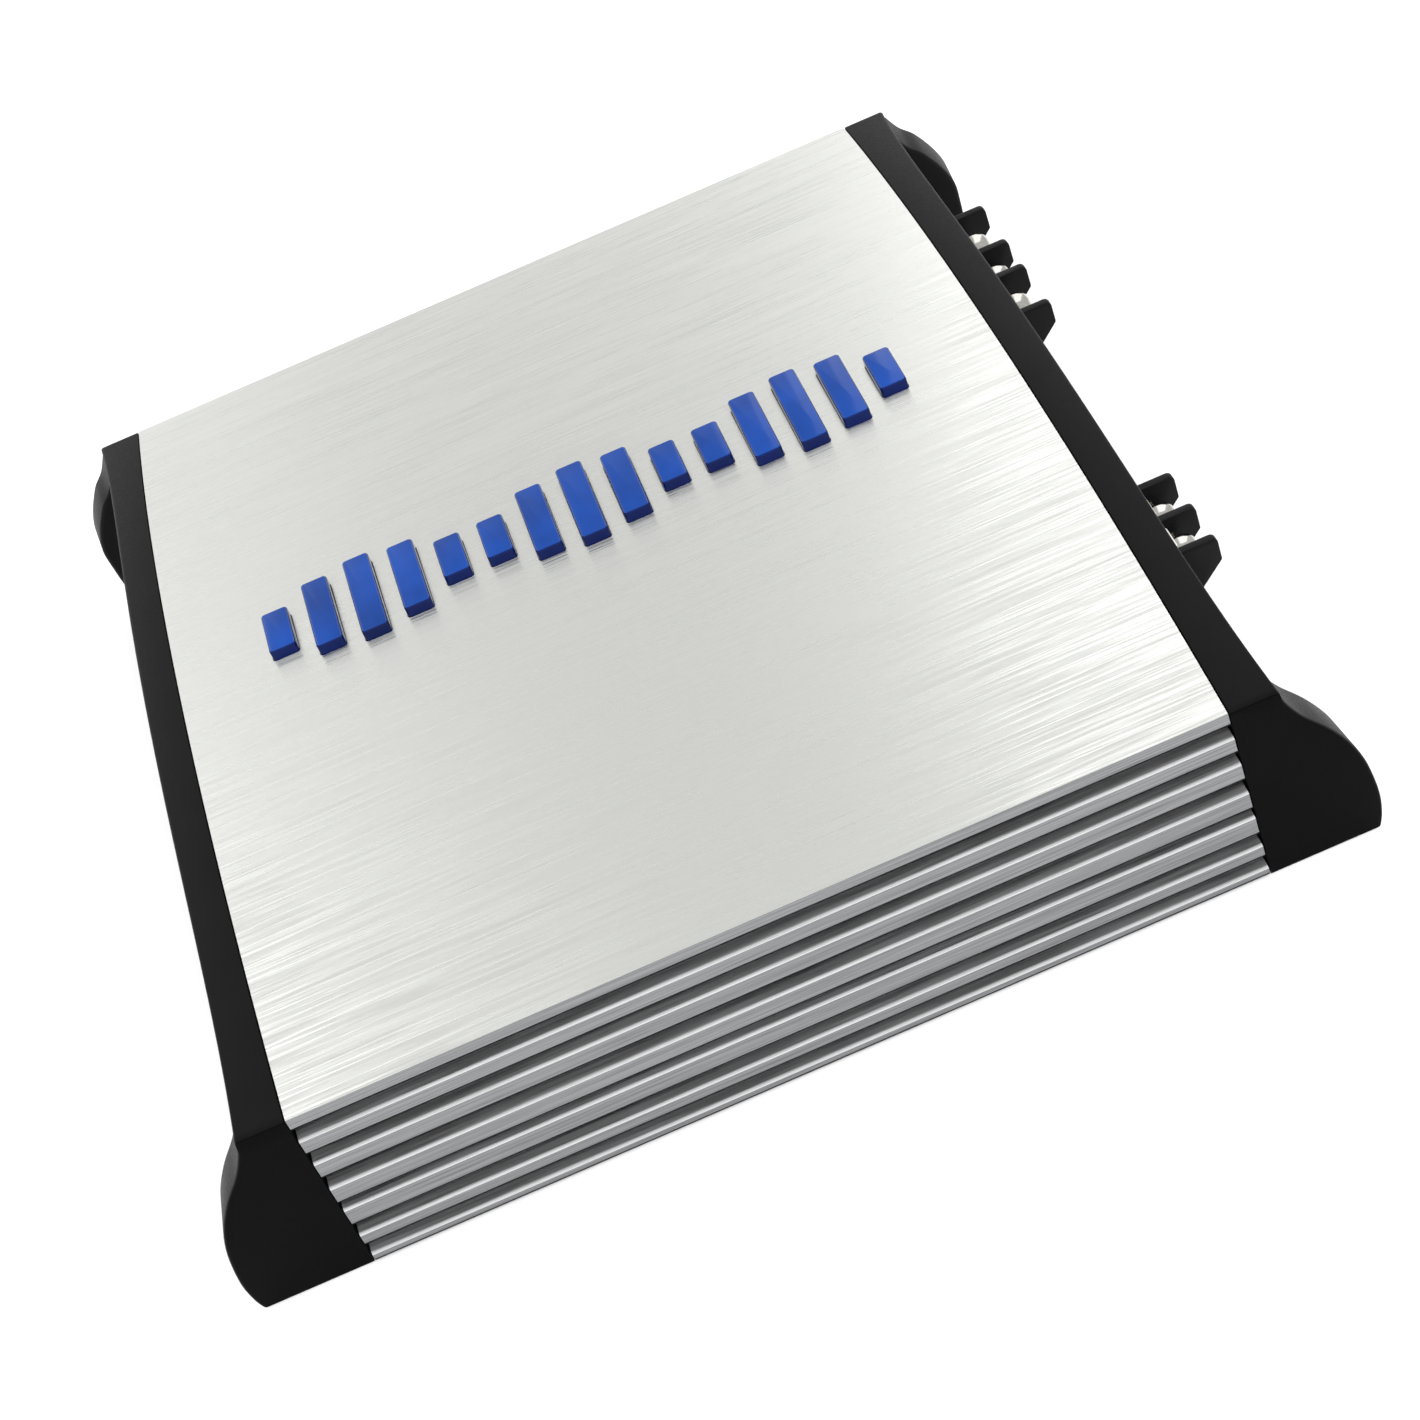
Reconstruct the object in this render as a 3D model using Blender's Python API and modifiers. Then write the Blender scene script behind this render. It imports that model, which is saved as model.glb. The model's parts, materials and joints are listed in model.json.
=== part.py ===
"""Car audio amplifier: a finned aluminium heatsink with two moulded end caps, modelled piece by piece.

Frame: the origin is the centre of the underside. +X runs along the heatsink towards the terminal
end, +Y points to the rear and +Z points up. Everything is in metres, through the factor MM.
"""

import math

import bmesh
import bpy
from mathutils import Matrix

MM = 0.001
GAP = 0.3 * MM  # kept between pieces that touch
OVERCUT = 2 * MM  # how far a cutter reaches past the face it opens

# Heatsink extrusion: a crowned top panel over two finned sides.
SINK_HALF_LENGTH = 100 * MM
HALF_DEPTH = 127.5 * MM
EDGE_HEIGHT = 48 * MM
CROWN_RISE = 12.5 * MM
CROWN_RADIUS = (HALF_DEPTH**2 + CROWN_RISE**2) / (2 * CROWN_RISE)
CROWN_STEPS = 24
PANEL_THICKNESS = 3.5 * MM
SIDE_INNER = 121 * MM
FIN_ROOT = 123.5 * MM
FIN_CHAMFER = 0.5 * MM
FIN_SLOPE = 0.6 * MM
PANEL_EDGE_DROP = 3.6 * MM
# How far the upper and lower edge of each fin's face lie below the panel's edge.
FIN_DROPS = (
    (6.9 * MM, 11.3 * MM),
    (14.4 * MM, 19.2 * MM),
    (22.7 * MM, 27.7 * MM),
    (30.0 * MM, 35.2 * MM),
    (38.5 * MM, 42.1 * MM),
    (45.2 * MM, 47.6 * MM),
)
SINK_FOOT = EDGE_HEIGHT - FIN_DROPS[-1][1]
FLANGE_INNER = 113 * MM
FLANGE_LOW = 4.2 * MM
FLANGE_HIGH = 7.7 * MM
BOSS_Y = 100 * MM
BOSS_HALF_WIDTH = 4.5 * MM
BOSS_LOW = 40.5 * MM
BOSS_AXIS_HEIGHT = 45 * MM

# Bottom cover and the screws of both kinds.
COVER_LOW = 2.2 * MM
COVER_THICKNESS = 1.7 * MM
COVER_ROUND = 1.5 * MM
SCREW_RADIUS = 1.5 * MM
SCREW_HEAD_RADIUS = 2.8 * MM
SCREW_HEAD_HEIGHT = 1.2 * MM
COVER_SCREW_X = 82 * MM
COVER_SCREW_Y = 117 * MM
CAP_SCREW_LENGTH = 14 * MM

# End caps.
CAP_INNER = SINK_HALF_LENGTH + GAP
PLATE_INNER = 100.6 * MM
PLATE_OUTER = 107.5 * MM
PLATE_HALF_DEPTH = 126.5 * MM
PLATE_FOOT = 1 * MM
PLATE_DROP = 2 * MM  # how far the wall between the wings stays below the heatsink crown
POCKET_FLOOR = 104.5 * MM
POCKET_RIM = 6 * MM
STRIP_OUTER = 108.5 * MM
STRIP_CORNER_GAIN = 2.5 * MM
STRIP_THICKNESS = 4.5 * MM
STRIP_BEVEL = 0.6 * MM
WING_FACE = 127 * MM
WING_INNER = 100.4 * MM
WING_THICKNESS = 12 * MM
WING_DRAFT = 1 * MM  # how much narrower the wing is at its inner face
WING_INNER_ROUND = 1.2 * MM
WING_ROOT_X = 106.5 * MM
WING_ROOT_FILLET = 5 * MM
FILLET_STEPS = 4
WING_ROUND = 1 * MM
# Height and half-width at the points that the outline of a corner wing runs through.
FRONT_WING_OUTLINE = (
    (0 * MM, 125.2 * MM),
    (3 * MM, 126 * MM),
    (8 * MM, 126.5 * MM),
    (14 * MM, 126 * MM),
    (20 * MM, 124.9 * MM),
    (26 * MM, 122.8 * MM),
    (32 * MM, 119.4 * MM),
    (38 * MM, 114.9 * MM),
    (43 * MM, 112.2 * MM),
    (46.5 * MM, 111.2 * MM),
)
REAR_WING_OUTLINE = (
    (0 * MM, 120.5 * MM),
    (5 * MM, 121.5 * MM),
    (12 * MM, 122.3 * MM),
    (20 * MM, 122.8 * MM),
    (26 * MM, 122.8 * MM),
    (31.7 * MM, 121 * MM),
    (38.2 * MM, 117.3 * MM),
    (42 * MM, 113.8 * MM),
    (46.5 * MM, 111.2 * MM),
)
TAB_INNER = 105.5 * MM
TAB_OUTER = 120 * MM
TAB_Y = 109 * MM
TAB_REACH = (8 * MM, 12 * MM)  # from the hole towards the middle and towards the wing
TAB_THICKNESS = 3.5 * MM
TAB_ROUND = 1.2 * MM
TAB_HOLE_X = 115.5 * MM
TAB_HOLE_RADIUS = 2.4 * MM
LUG_INNER = 94 * MM
LUG_Y = 106 * MM
LUG_LOW = 9.9 * MM
LUG_SIZE = 4 * MM

# Badge: a row of level bars of one light guide, standing through slots in the panel.
BAR_COUNT = 15
BAR_PITCH = 10.6 * MM
BAR_WIDTH = 6.4 * MM
BAR_LONGEST = 28 * MM
BAR_SHORTEST_SHARE = 0.3
BARS_PER_WAVE = 5
BAR_CENTRE_Y = 2 * MM
BAR_TOP = 63.2 * MM
GUIDE_LOW = 53.2 * MM
GUIDE_HIGH = 56.4 * MM
GUIDE_HALF_LENGTH = 80 * MM
GUIDE_HALF_WIDTH = 16.5 * MM
LED_BOARD_LOW = 50 * MM
LED_BOARD_HIGH = 51.4 * MM
LED_BOARD_HALF_LENGTH = 76 * MM
LED_BOARD_HALF_WIDTH = 6 * MM
LED_CHIP_HALF = 2.5 * MM
LED_CHIP_SINK = 0.5 * MM

# Circuit board and what stands on it.
BOARD_LOW = 8 * MM
BOARD_HIGH = 9.6 * MM
BOARD_HALF_LENGTH = 92 * MM
BOARD_HALF_WIDTH = 120.6 * MM
BOARD_ROUND = 2 * MM
DECK = BOARD_HIGH + GAP
CAPACITOR_RADIUS = 9 * MM
CAPACITOR_HEIGHT = 34 * MM
CAPACITOR_ROUND = 1 * MM
CAPACITOR_GROOVE_HEIGHT = 2.4 * MM
CAPACITOR_GROOVE = 0.8 * MM
CAPACITOR_X = (34 * MM, 56 * MM)
CAPACITOR_Y = (46 * MM, 68 * MM)
TRANSISTOR_X = (-30 * MM, 10 * MM)
TRANSISTOR_WIDTH = 15.8 * MM
TRANSISTOR_HEIGHT = 20 * MM
TRANSISTOR_THICKNESS = 5 * MM
TRANSISTOR_LIFT = 2 * MM
LEG_PITCH = 5.4 * MM
LEG_HALF = (0.6 * MM, 0.35 * MM)
LEG_DEPTH = 1.4 * MM
PAD_THICKNESS = 0.5 * MM
CLAMP_BAR_THICKNESS = 2.5 * MM
CLAMP_BAR_HEIGHTS = (9 * MM, 17 * MM)  # above the foot of the transistors' cases
# Middle X and Y, radius of the ring and radius of the wound section.
TRANSFORMER = (-48 * MM, 56 * MM, 20 * MM, 9 * MM)
CHOKE = (46 * MM, -50 * MM, 15 * MM, 7.5 * MM)
TOROID_RINGS = 28
TOROID_SIDES = 12

# Terminals on the +X end: where the rear face of each divider lies.
POWER_DIVIDERS = (35.3 * MM, 52.6 * MM, 65.2 * MM, 82.7 * MM)
SPEAKER_DIVIDERS = (-66.4 * MM, -54.4 * MM, -42.1 * MM)
DIVIDER_THICKNESS = 2.2 * MM
DIVIDER_OUTER = 121 * MM
DIVIDER_EDGE_LOW = 32.8 * MM
DIVIDER_SHELF = (115.5 * MM, 27.3 * MM)
BLOCK_INNER = 92 * MM
BLOCK_FACE = 111 * MM
BLOCK_LOW = 20.5 * MM
BLOCK_HIGH = 39 * MM
BLOCK_FLANGE = 3 * MM
FLANGE_X = 98 * MM
DIVIDER_ROUND = 1.5 * MM
DIVIDER_ROOT = 2 * MM  # how deep a divider is let into its block
END_INSET = 0.01 * MM  # keeps the end dividers' faces off the block's own
TERMINAL_HEIGHT = 33 * MM
CLAMP_THICKNESS = 2 * MM
CLAMP_HEIGHT = 10.5 * MM
CLAMP_ROUND = 0.8 * MM
CLAMP_SIDE_PLAY = 0.8 * MM
TERMINAL_SCREW_RADIUS = 2 * MM
TERMINAL_SCREW_TIP = 97 * MM
TERMINAL_HEAD_HEIGHT = 4.6 * MM
TERMINAL_HEAD_RADIUS = 4.6 * MM

# Fuses between the two terminal blocks.
FUSE_Y = (-5 * MM, 9 * MM)
FUSE_HEIGHT = 30 * MM
FUSE_SIZE = (8.5 * MM, 5.2 * MM, 19.2 * MM)
FUSE_INNER = 103.6 * MM
BLADE_LENGTH = 7 * MM
BLADE_SIZE = (0.8 * MM, 5 * MM)
BLADE_OFFSET = 6.5 * MM
HOLDER_LOW = (90 * MM, -12 * MM, 17 * MM)
HOLDER_HIGH = (108.2 * MM, 16 * MM, 43 * MM)

# Controls and inputs on the -X end.
CONTROL_HEIGHT = 30 * MM
KNOB_Y = (-40 * MM, -22 * MM, -4 * MM, 14 * MM)
KNOB_NAMES = ("gain", "low_pass", "subsonic", "bass_boost")
KNOB_RADIUS = 3.6 * MM
KNOB_ROUND = 0.4 * MM
KNOB_DISH = 0.8 * MM
KNOB_INNER = 102.4 * MM
KNOB_OUTER = 110.6 * MM
SHAFT_RADIUS = 1.5 * MM
SHAFT_OUTER = 106 * MM
POT_HALF_SIZE = 5.2 * MM
POT_INNER = 91.9 * MM
POT_OUTER = 99.5 * MM
CONTROL_BOARD_INNER = 90 * MM
CONTROL_BOARD_OUTER = 91.6 * MM
CONTROL_BOARD_Y = (-58 * MM, 88 * MM)
CONTROL_BOARD_TOP = 39 * MM
SWITCH_Y = 33 * MM
SWITCH_SLOT = (9 * MM, 4.4 * MM)
SWITCH_TRAVEL = 3 * MM
SWITCH_BODY_HALF = (7 * MM, 3.5 * MM)
SWITCH_GROOVE_DEPTH = 3 * MM
SWITCH_GROOVE_HALF_HEIGHT = 1.8 * MM
LEVER_HALF = (2 * MM, 1.5 * MM)
LEVER_INNER = 97 * MM
LEVER_OUTER = 109 * MM
PORT_Y = 54 * MM
PORT_FACE = (13 * MM, 12 * MM)
PORT_OUTER = 108 * MM
PORT_SOCKET = (9.6 * MM, 7 * MM)
PORT_SOCKET_FLOOR = 95.5 * MM
PORT_NOTCH = (3.6 * MM, 1.4 * MM)
LED_Y = (72 * MM, 80 * MM)
LED_RADIUS = 1.5 * MM
LED_LENGTH = 7 * MM
LED_INNER = 101.5 * MM
RCA_Y = (-92 * MM, -72 * MM)
RCA_BARREL_RADIUS = 4.2 * MM
RCA_BORE_RADIUS = 1.8 * MM
RCA_BORE_DEPTH = 9 * MM
RCA_OUTER = 114 * MM
RCA_BLOCK_MARGIN = 9 * MM
RCA_BLOCK_TOP = 38 * MM

COLOURS = {
    "brushed_panel": ((0.66, 0.66, 0.65), 0.35, 1.0),
    "black_moulding": ((0.02, 0.02, 0.021), 0.55, 0.0),
    "blue_guide": ((0.01, 0.07, 0.5), 0.12, 0.0),
    "zinc_steel": ((0.55, 0.55, 0.56), 0.4, 1.0),
    "nickel": ((0.72, 0.7, 0.66), 0.22, 1.0),
    "black_nylon": ((0.03, 0.03, 0.032), 0.45, 0.0),
    "green_board": ((0.03, 0.16, 0.06), 0.5, 0.0),
    "white_board": ((0.8, 0.8, 0.78), 0.5, 0.0),
    "copper_winding": ((0.6, 0.22, 0.08), 0.35, 1.0),
    "sleeve_black": ((0.03, 0.03, 0.05), 0.3, 0.0),
    "epoxy": ((0.025, 0.025, 0.025), 0.6, 0.0),
    "grey_pad": ((0.45, 0.47, 0.5), 0.8, 0.0),
    "fuse_amber": ((0.75, 0.3, 0.02), 0.2, 0.0),
    "lens_blue": ((0.05, 0.2, 0.8), 0.1, 0.0),
    "lens_red": ((0.7, 0.03, 0.02), 0.1, 0.0),
}

# The turn that lays a profile or a round piece, drawn along Z, along each axis.
LAY_ALONG = {
    "X": Matrix(((0, 0, 1), (1, 0, 0), (0, 1, 0))).to_4x4(),
    "-X": Matrix(((0, 0, -1), (-1, 0, 0), (0, 1, 0))).to_4x4(),
    "Y": Matrix(((1, 0, 0), (0, 0, -1), (0, 1, 0))).to_4x4(),
    "Z": Matrix.Identity(4),
}


# ---------------------------------------------------------------- scene and helpers


def clear_scene():
    for obj in list(bpy.data.objects):
        bpy.data.objects.remove(obj, do_unlink=True)


def add_collection(name):
    collection = bpy.data.collections.new(name)
    bpy.context.scene.collection.children.link(collection)
    return collection


clear_scene()
PARTS = add_collection("car_amplifier")
CUTTERS = add_collection("cutters")


def material(name):
    found = bpy.data.materials.get(name)
    if found:
        return found
    colour, roughness, metallic = COLOURS[name]
    made = bpy.data.materials.new(name)
    made.use_nodes = True
    shader = made.node_tree.nodes["Principled BSDF"]
    shader.inputs["Base Color"].default_value = (*colour, 1)
    shader.inputs["Roughness"].default_value = roughness
    shader.inputs["Metallic"].default_value = metallic
    made.diffuse_color = (*colour, 1)
    return made


def add_object(name, data, slot):
    """An object among the parts, or among the cutters when it has no material slot."""
    obj = bpy.data.objects.new(name, data)
    if slot:
        data.materials.append(material(slot))
        PARTS.objects.link(obj)
    else:
        obj.display_type = "WIRE"
        obj.hide_render = True
        CUTTERS.objects.link(obj)
    return obj


def mesh_of(bm, name):
    bmesh.ops.recalc_face_normals(bm, faces=bm.faces)
    mesh = bpy.data.meshes.new(name)
    bm.to_mesh(mesh)
    bm.free()
    mesh.shade_smooth()
    mesh.set_sharp_from_angle(angle=math.radians(35))
    return mesh


def middle(low, high):
    return [(a + b) / 2 for a, b in zip(low, high)]


def add_cube(bm, low, high, origin=(0, 0, 0)):
    size = [b - a for a, b in zip(low, high)]
    centre = [m - o for m, o in zip(middle(low, high), origin)]
    bmesh.ops.create_cube(bm, size=1, matrix=Matrix.LocRotScale(centre, None, size))


def ordered(low, high):
    """The same two corners, with the lower value of each axis first."""
    pairs = [sorted(pair) for pair in zip(low, high)]
    return [pair[0] for pair in pairs], [pair[1] for pair in pairs]


def box(name, low, high, slot=None, bevel=0):
    low, high = ordered(low, high)
    centre = middle(low, high)
    bm = bmesh.new()
    add_cube(bm, low, high, centre)
    obj = add_object(name, mesh_of(bm, name), slot)
    obj.location = centre
    if bevel:
        add_bevel(obj, bevel)
    return obj


def boxes(name, corner_pairs, slot=None):
    """Several boxes in one mesh, for a cutter or for pieces that a union joins."""
    bm = bmesh.new()
    for low, high in corner_pairs:
        add_cube(bm, *ordered(low, high))
    return add_object(name, mesh_of(bm, name), slot)


def cylinder(name, radius, start, end, axis, slot=None, segments=24):
    """A round bar between two points that differ along one axis only."""
    centre = middle(start, end)
    length = math.dist(start, end)
    bm = bmesh.new()
    bmesh.ops.create_cone(
        bm, cap_ends=True, segments=segments, radius1=radius, radius2=radius, depth=length
    )
    bmesh.ops.transform(bm, matrix=LAY_ALONG[axis], verts=bm.verts)
    obj = add_object(name, mesh_of(bm, name), slot)
    obj.location = centre
    return obj


def prism(name, outline, axis, low, high, slot=None, holes=()):
    """A flat outline, given in the two axes across, extruded along the third."""
    curve = bpy.data.curves.new(name, "CURVE")
    curve.dimensions = "2D"
    curve.fill_mode = "BOTH"
    curve.extrude = (high - low) / 2
    for points in (outline, *holes):
        spline = curve.splines.new("POLY")
        spline.points.add(len(points) - 1)
        spline.use_cyclic_u = True
        for point, (across, up) in zip(spline.points, points):
            point.co = (across, up, 0, 1)
    centre = [0, 0, 0]
    centre["XYZ".index(axis)] = (low + high) / 2
    flat = bpy.data.objects.new(name + "_outline", curve)
    CUTTERS.objects.link(flat)
    flat.matrix_world = Matrix.Translation(centre) @ LAY_ALONG[axis]
    return as_mesh(flat, name, slot)


def as_mesh(curve_object, name, slot):
    """The curve's solid as a mesh object with welded caps. The curve itself is removed."""
    bpy.context.view_layer.update()
    graph = bpy.context.evaluated_depsgraph_get()
    mesh = bpy.data.meshes.new_from_object(curve_object.evaluated_get(graph))
    bm = bmesh.new()
    bm.from_mesh(mesh)
    bmesh.ops.remove_doubles(bm, verts=bm.verts, dist=1e-6)
    obj = add_object(name, mesh_of(bm, name), slot)
    obj.matrix_world = curve_object.matrix_world
    bpy.data.objects.remove(curve_object, do_unlink=True)
    bpy.data.meshes.remove(mesh)
    return obj


def turned(name, profile, location, axis, slot, steps=24):
    """A turned piece. The profile holds (radius, height) from its top, down the outer side."""
    mesh = bpy.data.meshes.new(name)
    points = [(radius, 0, height) for radius, height in profile]
    mesh.from_pydata(points, [(i, i + 1) for i in range(len(points) - 1)], [])
    obj = add_object(name, mesh, slot)
    obj.matrix_world = Matrix.Translation(location) @ LAY_ALONG[axis]
    screw = obj.modifiers.new("turn", "SCREW")
    screw.axis = "Z"
    screw.steps = steps
    screw.render_steps = steps
    screw.use_merge_vertices = True
    screw.merge_threshold = 1e-6
    return obj


def loft(name, rings, slot=None):
    """A closed solid through rings of equally many points, with a cap on each end."""
    bm = bmesh.new()
    rows = [[bm.verts.new(point) for point in ring] for ring in rings]
    for row, above in zip(rows, rows[1:]):
        for i in range(len(row)):
            j = (i + 1) % len(row)
            bm.faces.new((row[i], row[j], above[j], above[i]))
    bm.faces.new(rows[0])
    bm.faces.new(rows[-1])
    return add_object(name, mesh_of(bm, name), slot)


def add_bevel(obj, width, segments=1):
    bevel = obj.modifiers.new("bevel", "BEVEL")
    bevel.width = width
    bevel.segments = segments
    bevel.limit_method = "ANGLE"


def combine(obj, operation, others):
    for other in others:
        step = obj.modifiers.new(other.name, "BOOLEAN")
        step.operation = operation
        step.object = other


def unite(obj, *others):
    combine(obj, "UNION", others)


def cut(obj, *others):
    combine(obj, "DIFFERENCE", others)


def rounded(low, high, radius, steps=3):
    """A rectangle's outline with round corners."""
    centres = (
        (high[0] - radius, high[1] - radius),
        (low[0] + radius, high[1] - radius),
        (low[0] + radius, low[1] + radius),
        (high[0] - radius, low[1] + radius),
    )
    return [
        (
            x + radius * math.cos(math.pi / 2 * (corner + i / steps)),
            y + radius * math.sin(math.pi / 2 * (corner + i / steps)),
        )
        for corner, (x, y) in enumerate(centres)
        for i in range(steps + 1)
    ]


def circle(x, y, radius, segments=20):
    turns = [2 * math.pi * i / segments for i in range(segments)]
    return [(x + radius * math.cos(turn), y + radius * math.sin(turn)) for turn in turns]


def smooth_run(points, steps):
    """A smooth curve through points, with a number of steps between each two of them."""
    ends = [points[0], *points, points[-1]]
    run = []
    for i in range(1, len(ends) - 2):
        for step in range(steps):
            run.append(smooth_point(ends[i - 1 : i + 3], step / steps))
    return [*run, points[-1]]


def smooth_point(four, t):
    weights = (
        (-t + 2 * t**2 - t**3) / 2,
        (2 - 5 * t**2 + 3 * t**3) / 2,
        (t + 4 * t**2 - 3 * t**3) / 2,
        (-(t**2) + t**3) / 2,
    )
    return tuple(sum(w * p[k] for w, p in zip(weights, four)) for k in (0, 1))


# ---------------------------------------------------------------- heatsink and cover


def crown(y):
    """Height of the top surface at a distance from the middle."""
    return EDGE_HEIGHT + math.sqrt(CROWN_RADIUS**2 - y**2) - math.sqrt(CROWN_RADIUS**2 - HALF_DEPTH**2)


def crown_run(half_width, drop):
    """The crown's arc from +Y to -Y, a distance below the top surface."""
    stations = [half_width * (1 - 2 * i / CROWN_STEPS) for i in range(CROWN_STEPS + 1)]
    return [(y, crown(y) - drop) for y in stations]


def fin_side():
    """Outline of the finned side from the panel's edge down to the foot."""
    low = EDGE_HEIGHT - PANEL_EDGE_DROP
    points = [(HALF_DEPTH, low), (FIN_ROOT, low)]
    for upper, lower in FIN_DROPS:
        top = EDGE_HEIGHT - upper
        bottom = EDGE_HEIGHT - lower
        points += [
            (FIN_ROOT, top + FIN_SLOPE),
            (HALF_DEPTH - FIN_CHAMFER, top),
            (HALF_DEPTH, top - FIN_CHAMFER),
            (HALF_DEPTH, bottom),
            (FIN_ROOT, bottom),
        ]
    return points[:-1]


def inner_side():
    """Outline of the inside from the foot up to the panel's underside."""
    boss_in = BOSS_Y - BOSS_HALF_WIDTH
    boss_out = BOSS_Y + BOSS_HALF_WIDTH
    return [
        (SIDE_INNER, SINK_FOOT),
        (SIDE_INNER, FLANGE_LOW),
        (FLANGE_INNER, FLANGE_LOW),
        (FLANGE_INNER, FLANGE_HIGH),
        (SIDE_INNER, FLANGE_HIGH),
        (SIDE_INNER, crown(SIDE_INNER) - PANEL_THICKNESS),
        (boss_out, crown(boss_out) - PANEL_THICKNESS),
        (boss_out, BOSS_LOW),
        (boss_in, BOSS_LOW),
    ]


def mirrored(points):
    return [(-y, z) for y, z in reversed(points)]


def sink_outline():
    roof = crown_run(BOSS_Y - BOSS_HALF_WIDTH, PANEL_THICKNESS)
    side = fin_side() + inner_side()
    return side + roof + mirrored(side) + crown_run(HALF_DEPTH, 0)[::-1]


def bar_corners(grow, low, high):
    """The box of each bar of the badge, made larger by a margin on its four sides."""
    pairs = []
    for i in range(BAR_COUNT):
        x = (i - (BAR_COUNT - 1) / 2) * BAR_PITCH
        wave = abs(math.sin(math.pi * (i + 0.5) / BARS_PER_WAVE))
        half = BAR_LONGEST / 2 * (BAR_SHORTEST_SHARE + (1 - BAR_SHORTEST_SHARE) * wave)
        across = BAR_WIDTH / 2 + grow
        along = half + grow
        pairs.append(
            (
                (x - across, BAR_CENTRE_Y - along, low),
                (x + across, BAR_CENTRE_Y + along, high),
            )
        )
    return pairs


def make_heatsink():
    sink = prism(
        "heatsink_shell", sink_outline(), "X", -SINK_HALF_LENGTH, SINK_HALF_LENGTH, "brushed_panel"
    )
    cut(sink, boxes("badge_slots", bar_corners(GAP, LED_BOARD_LOW, BAR_TOP + MM)))
    cut(sink, *[cap_screw_hole(side, y) for side in (-1, 1) for y in (-BOSS_Y, BOSS_Y)])
    cut(sink, *[cover_screw_hole(x, y) for x, y in cover_screw_places()])


def cap_screw_hole(side, y):
    """The bore of an end-cap screw, long enough to cut both the boss and the cap's wall."""
    tip = side * (PLATE_OUTER - CAP_SCREW_LENGTH - OVERCUT)
    mouth = side * (PLATE_OUTER + OVERCUT)
    name = f"cap_screw_hole_{side:+d}_{y / BOSS_Y:+.0f}"
    start = (min(tip, mouth), y, BOSS_AXIS_HEIGHT)
    end = (max(tip, mouth), y, BOSS_AXIS_HEIGHT)
    return bpy.data.objects.get(name) or cylinder(name, SCREW_RADIUS + GAP, start, end, "X")


def cover_screw_places():
    return [(x, y) for x in (-COVER_SCREW_X, COVER_SCREW_X) for y in (-COVER_SCREW_Y, COVER_SCREW_Y)]


def cover_screw_hole(x, y):
    name = f"cover_screw_hole_{x / COVER_SCREW_X:+.0f}_{y / COVER_SCREW_Y:+.0f}"
    return cylinder(name, SCREW_RADIUS + GAP, (x, y, FLANGE_LOW - MM), (x, y, FLANGE_HIGH + MM), "Z")


def make_bottom_cover():
    half_length = SINK_HALF_LENGTH - GAP
    half_width = SIDE_INNER - GAP
    outline = rounded((-half_length, -half_width), (half_length, half_width), COVER_ROUND)
    holes = [circle(x, y, SCREW_RADIUS + GAP) for x, y in cover_screw_places()]
    prism(
        "bottom_cover", outline, "Z", COVER_LOW, COVER_LOW + COVER_THICKNESS, "zinc_steel", holes
    )


def screw_profile(head_radius, head_height, radius, length):
    """A pan-head screw with its head's seat at height 0."""
    return [
        (0, head_height),
        (head_radius * 0.7, head_height),
        (head_radius, head_height * 0.45),
        (head_radius, 0),
        (radius, 0),
        (radius, -length + radius * 0.6),
        (radius * 0.4, -length),
        (0, -length),
    ]


def make_screws():
    small = dict(head_radius=SCREW_HEAD_RADIUS, head_height=SCREW_HEAD_HEIGHT, radius=SCREW_RADIUS)
    profile = screw_profile(length=CAP_SCREW_LENGTH, **small)
    for side, end in ((-1, "left"), (1, "right")):
        for y, place in ((-BOSS_Y, "front"), (BOSS_Y, "rear")):
            seat = (side * (PLATE_OUTER + GAP), y, BOSS_AXIS_HEIGHT)
            axis = "X" if side > 0 else "-X"
            turned(f"{end}_cap_screw_{place}", profile, seat, axis, "zinc_steel", 16)
    profile = screw_profile(length=FLANGE_HIGH - COVER_LOW, **small)
    upside_down = [(radius, -height) for radius, height in reversed(profile)]
    for number, (x, y) in enumerate(cover_screw_places(), 1):
        seat = (x, y, COVER_LOW - GAP)
        turned(f"cover_screw_{number}", upside_down, seat, "Z", "zinc_steel", 16)


# ---------------------------------------------------------------- end caps


def cap_section(half_width, foot, drop):
    """Cross-section of a cap's wall or of its pocket."""
    return [*crown_run(half_width, drop), (-half_width, foot), (half_width, foot)]


def strip_edge(y):
    """Half-length of the cap's top strip, which widens towards the corners."""
    return STRIP_OUTER + STRIP_CORNER_GAIN * abs(y / HALF_DEPTH) ** 5


def make_strip(side, name):
    rings = []
    for y, top in crown_run(HALF_DEPTH, 0):
        edge = strip_edge(y)
        section = (
            (CAP_INNER, top - STRIP_THICKNESS),
            (CAP_INNER, top),
            (edge - STRIP_BEVEL, top),
            (edge, top - STRIP_BEVEL),
            (edge, top - STRIP_THICKNESS),
        )
        rings.append([(side * x, y, z) for x, z in section])
    return loft(name, rings)


def wing_ring(width, height, side, rear):
    """Plan of a corner wing at one height: a slab with rounded edges and a fillet at its root."""
    inner_tip = width - WING_DRAFT
    inner_end = inner_tip - WING_INNER_ROUND
    fillet = min(WING_ROOT_FILLET, 0.9 * (inner_end - WING_ROOT_X))
    plan = [
        (WING_INNER, 0),
        (width - WING_ROUND, 0),
        (width, WING_ROUND),
        (inner_tip, WING_THICKNESS - WING_INNER_ROUND),
        (inner_end, WING_THICKNESS),
    ]
    for i in range(FILLET_STEPS + 1):
        turn = math.pi / 2 * i / FILLET_STEPS
        x = WING_ROOT_X + fillet * (1 - math.sin(turn))
        plan.append((x, WING_THICKNESS + fillet * (1 - math.cos(turn))))
    plan.append((WING_INNER, WING_THICKNESS + fillet))
    return [(side * x, rear * (WING_FACE - depth), height) for x, depth in plan]


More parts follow.
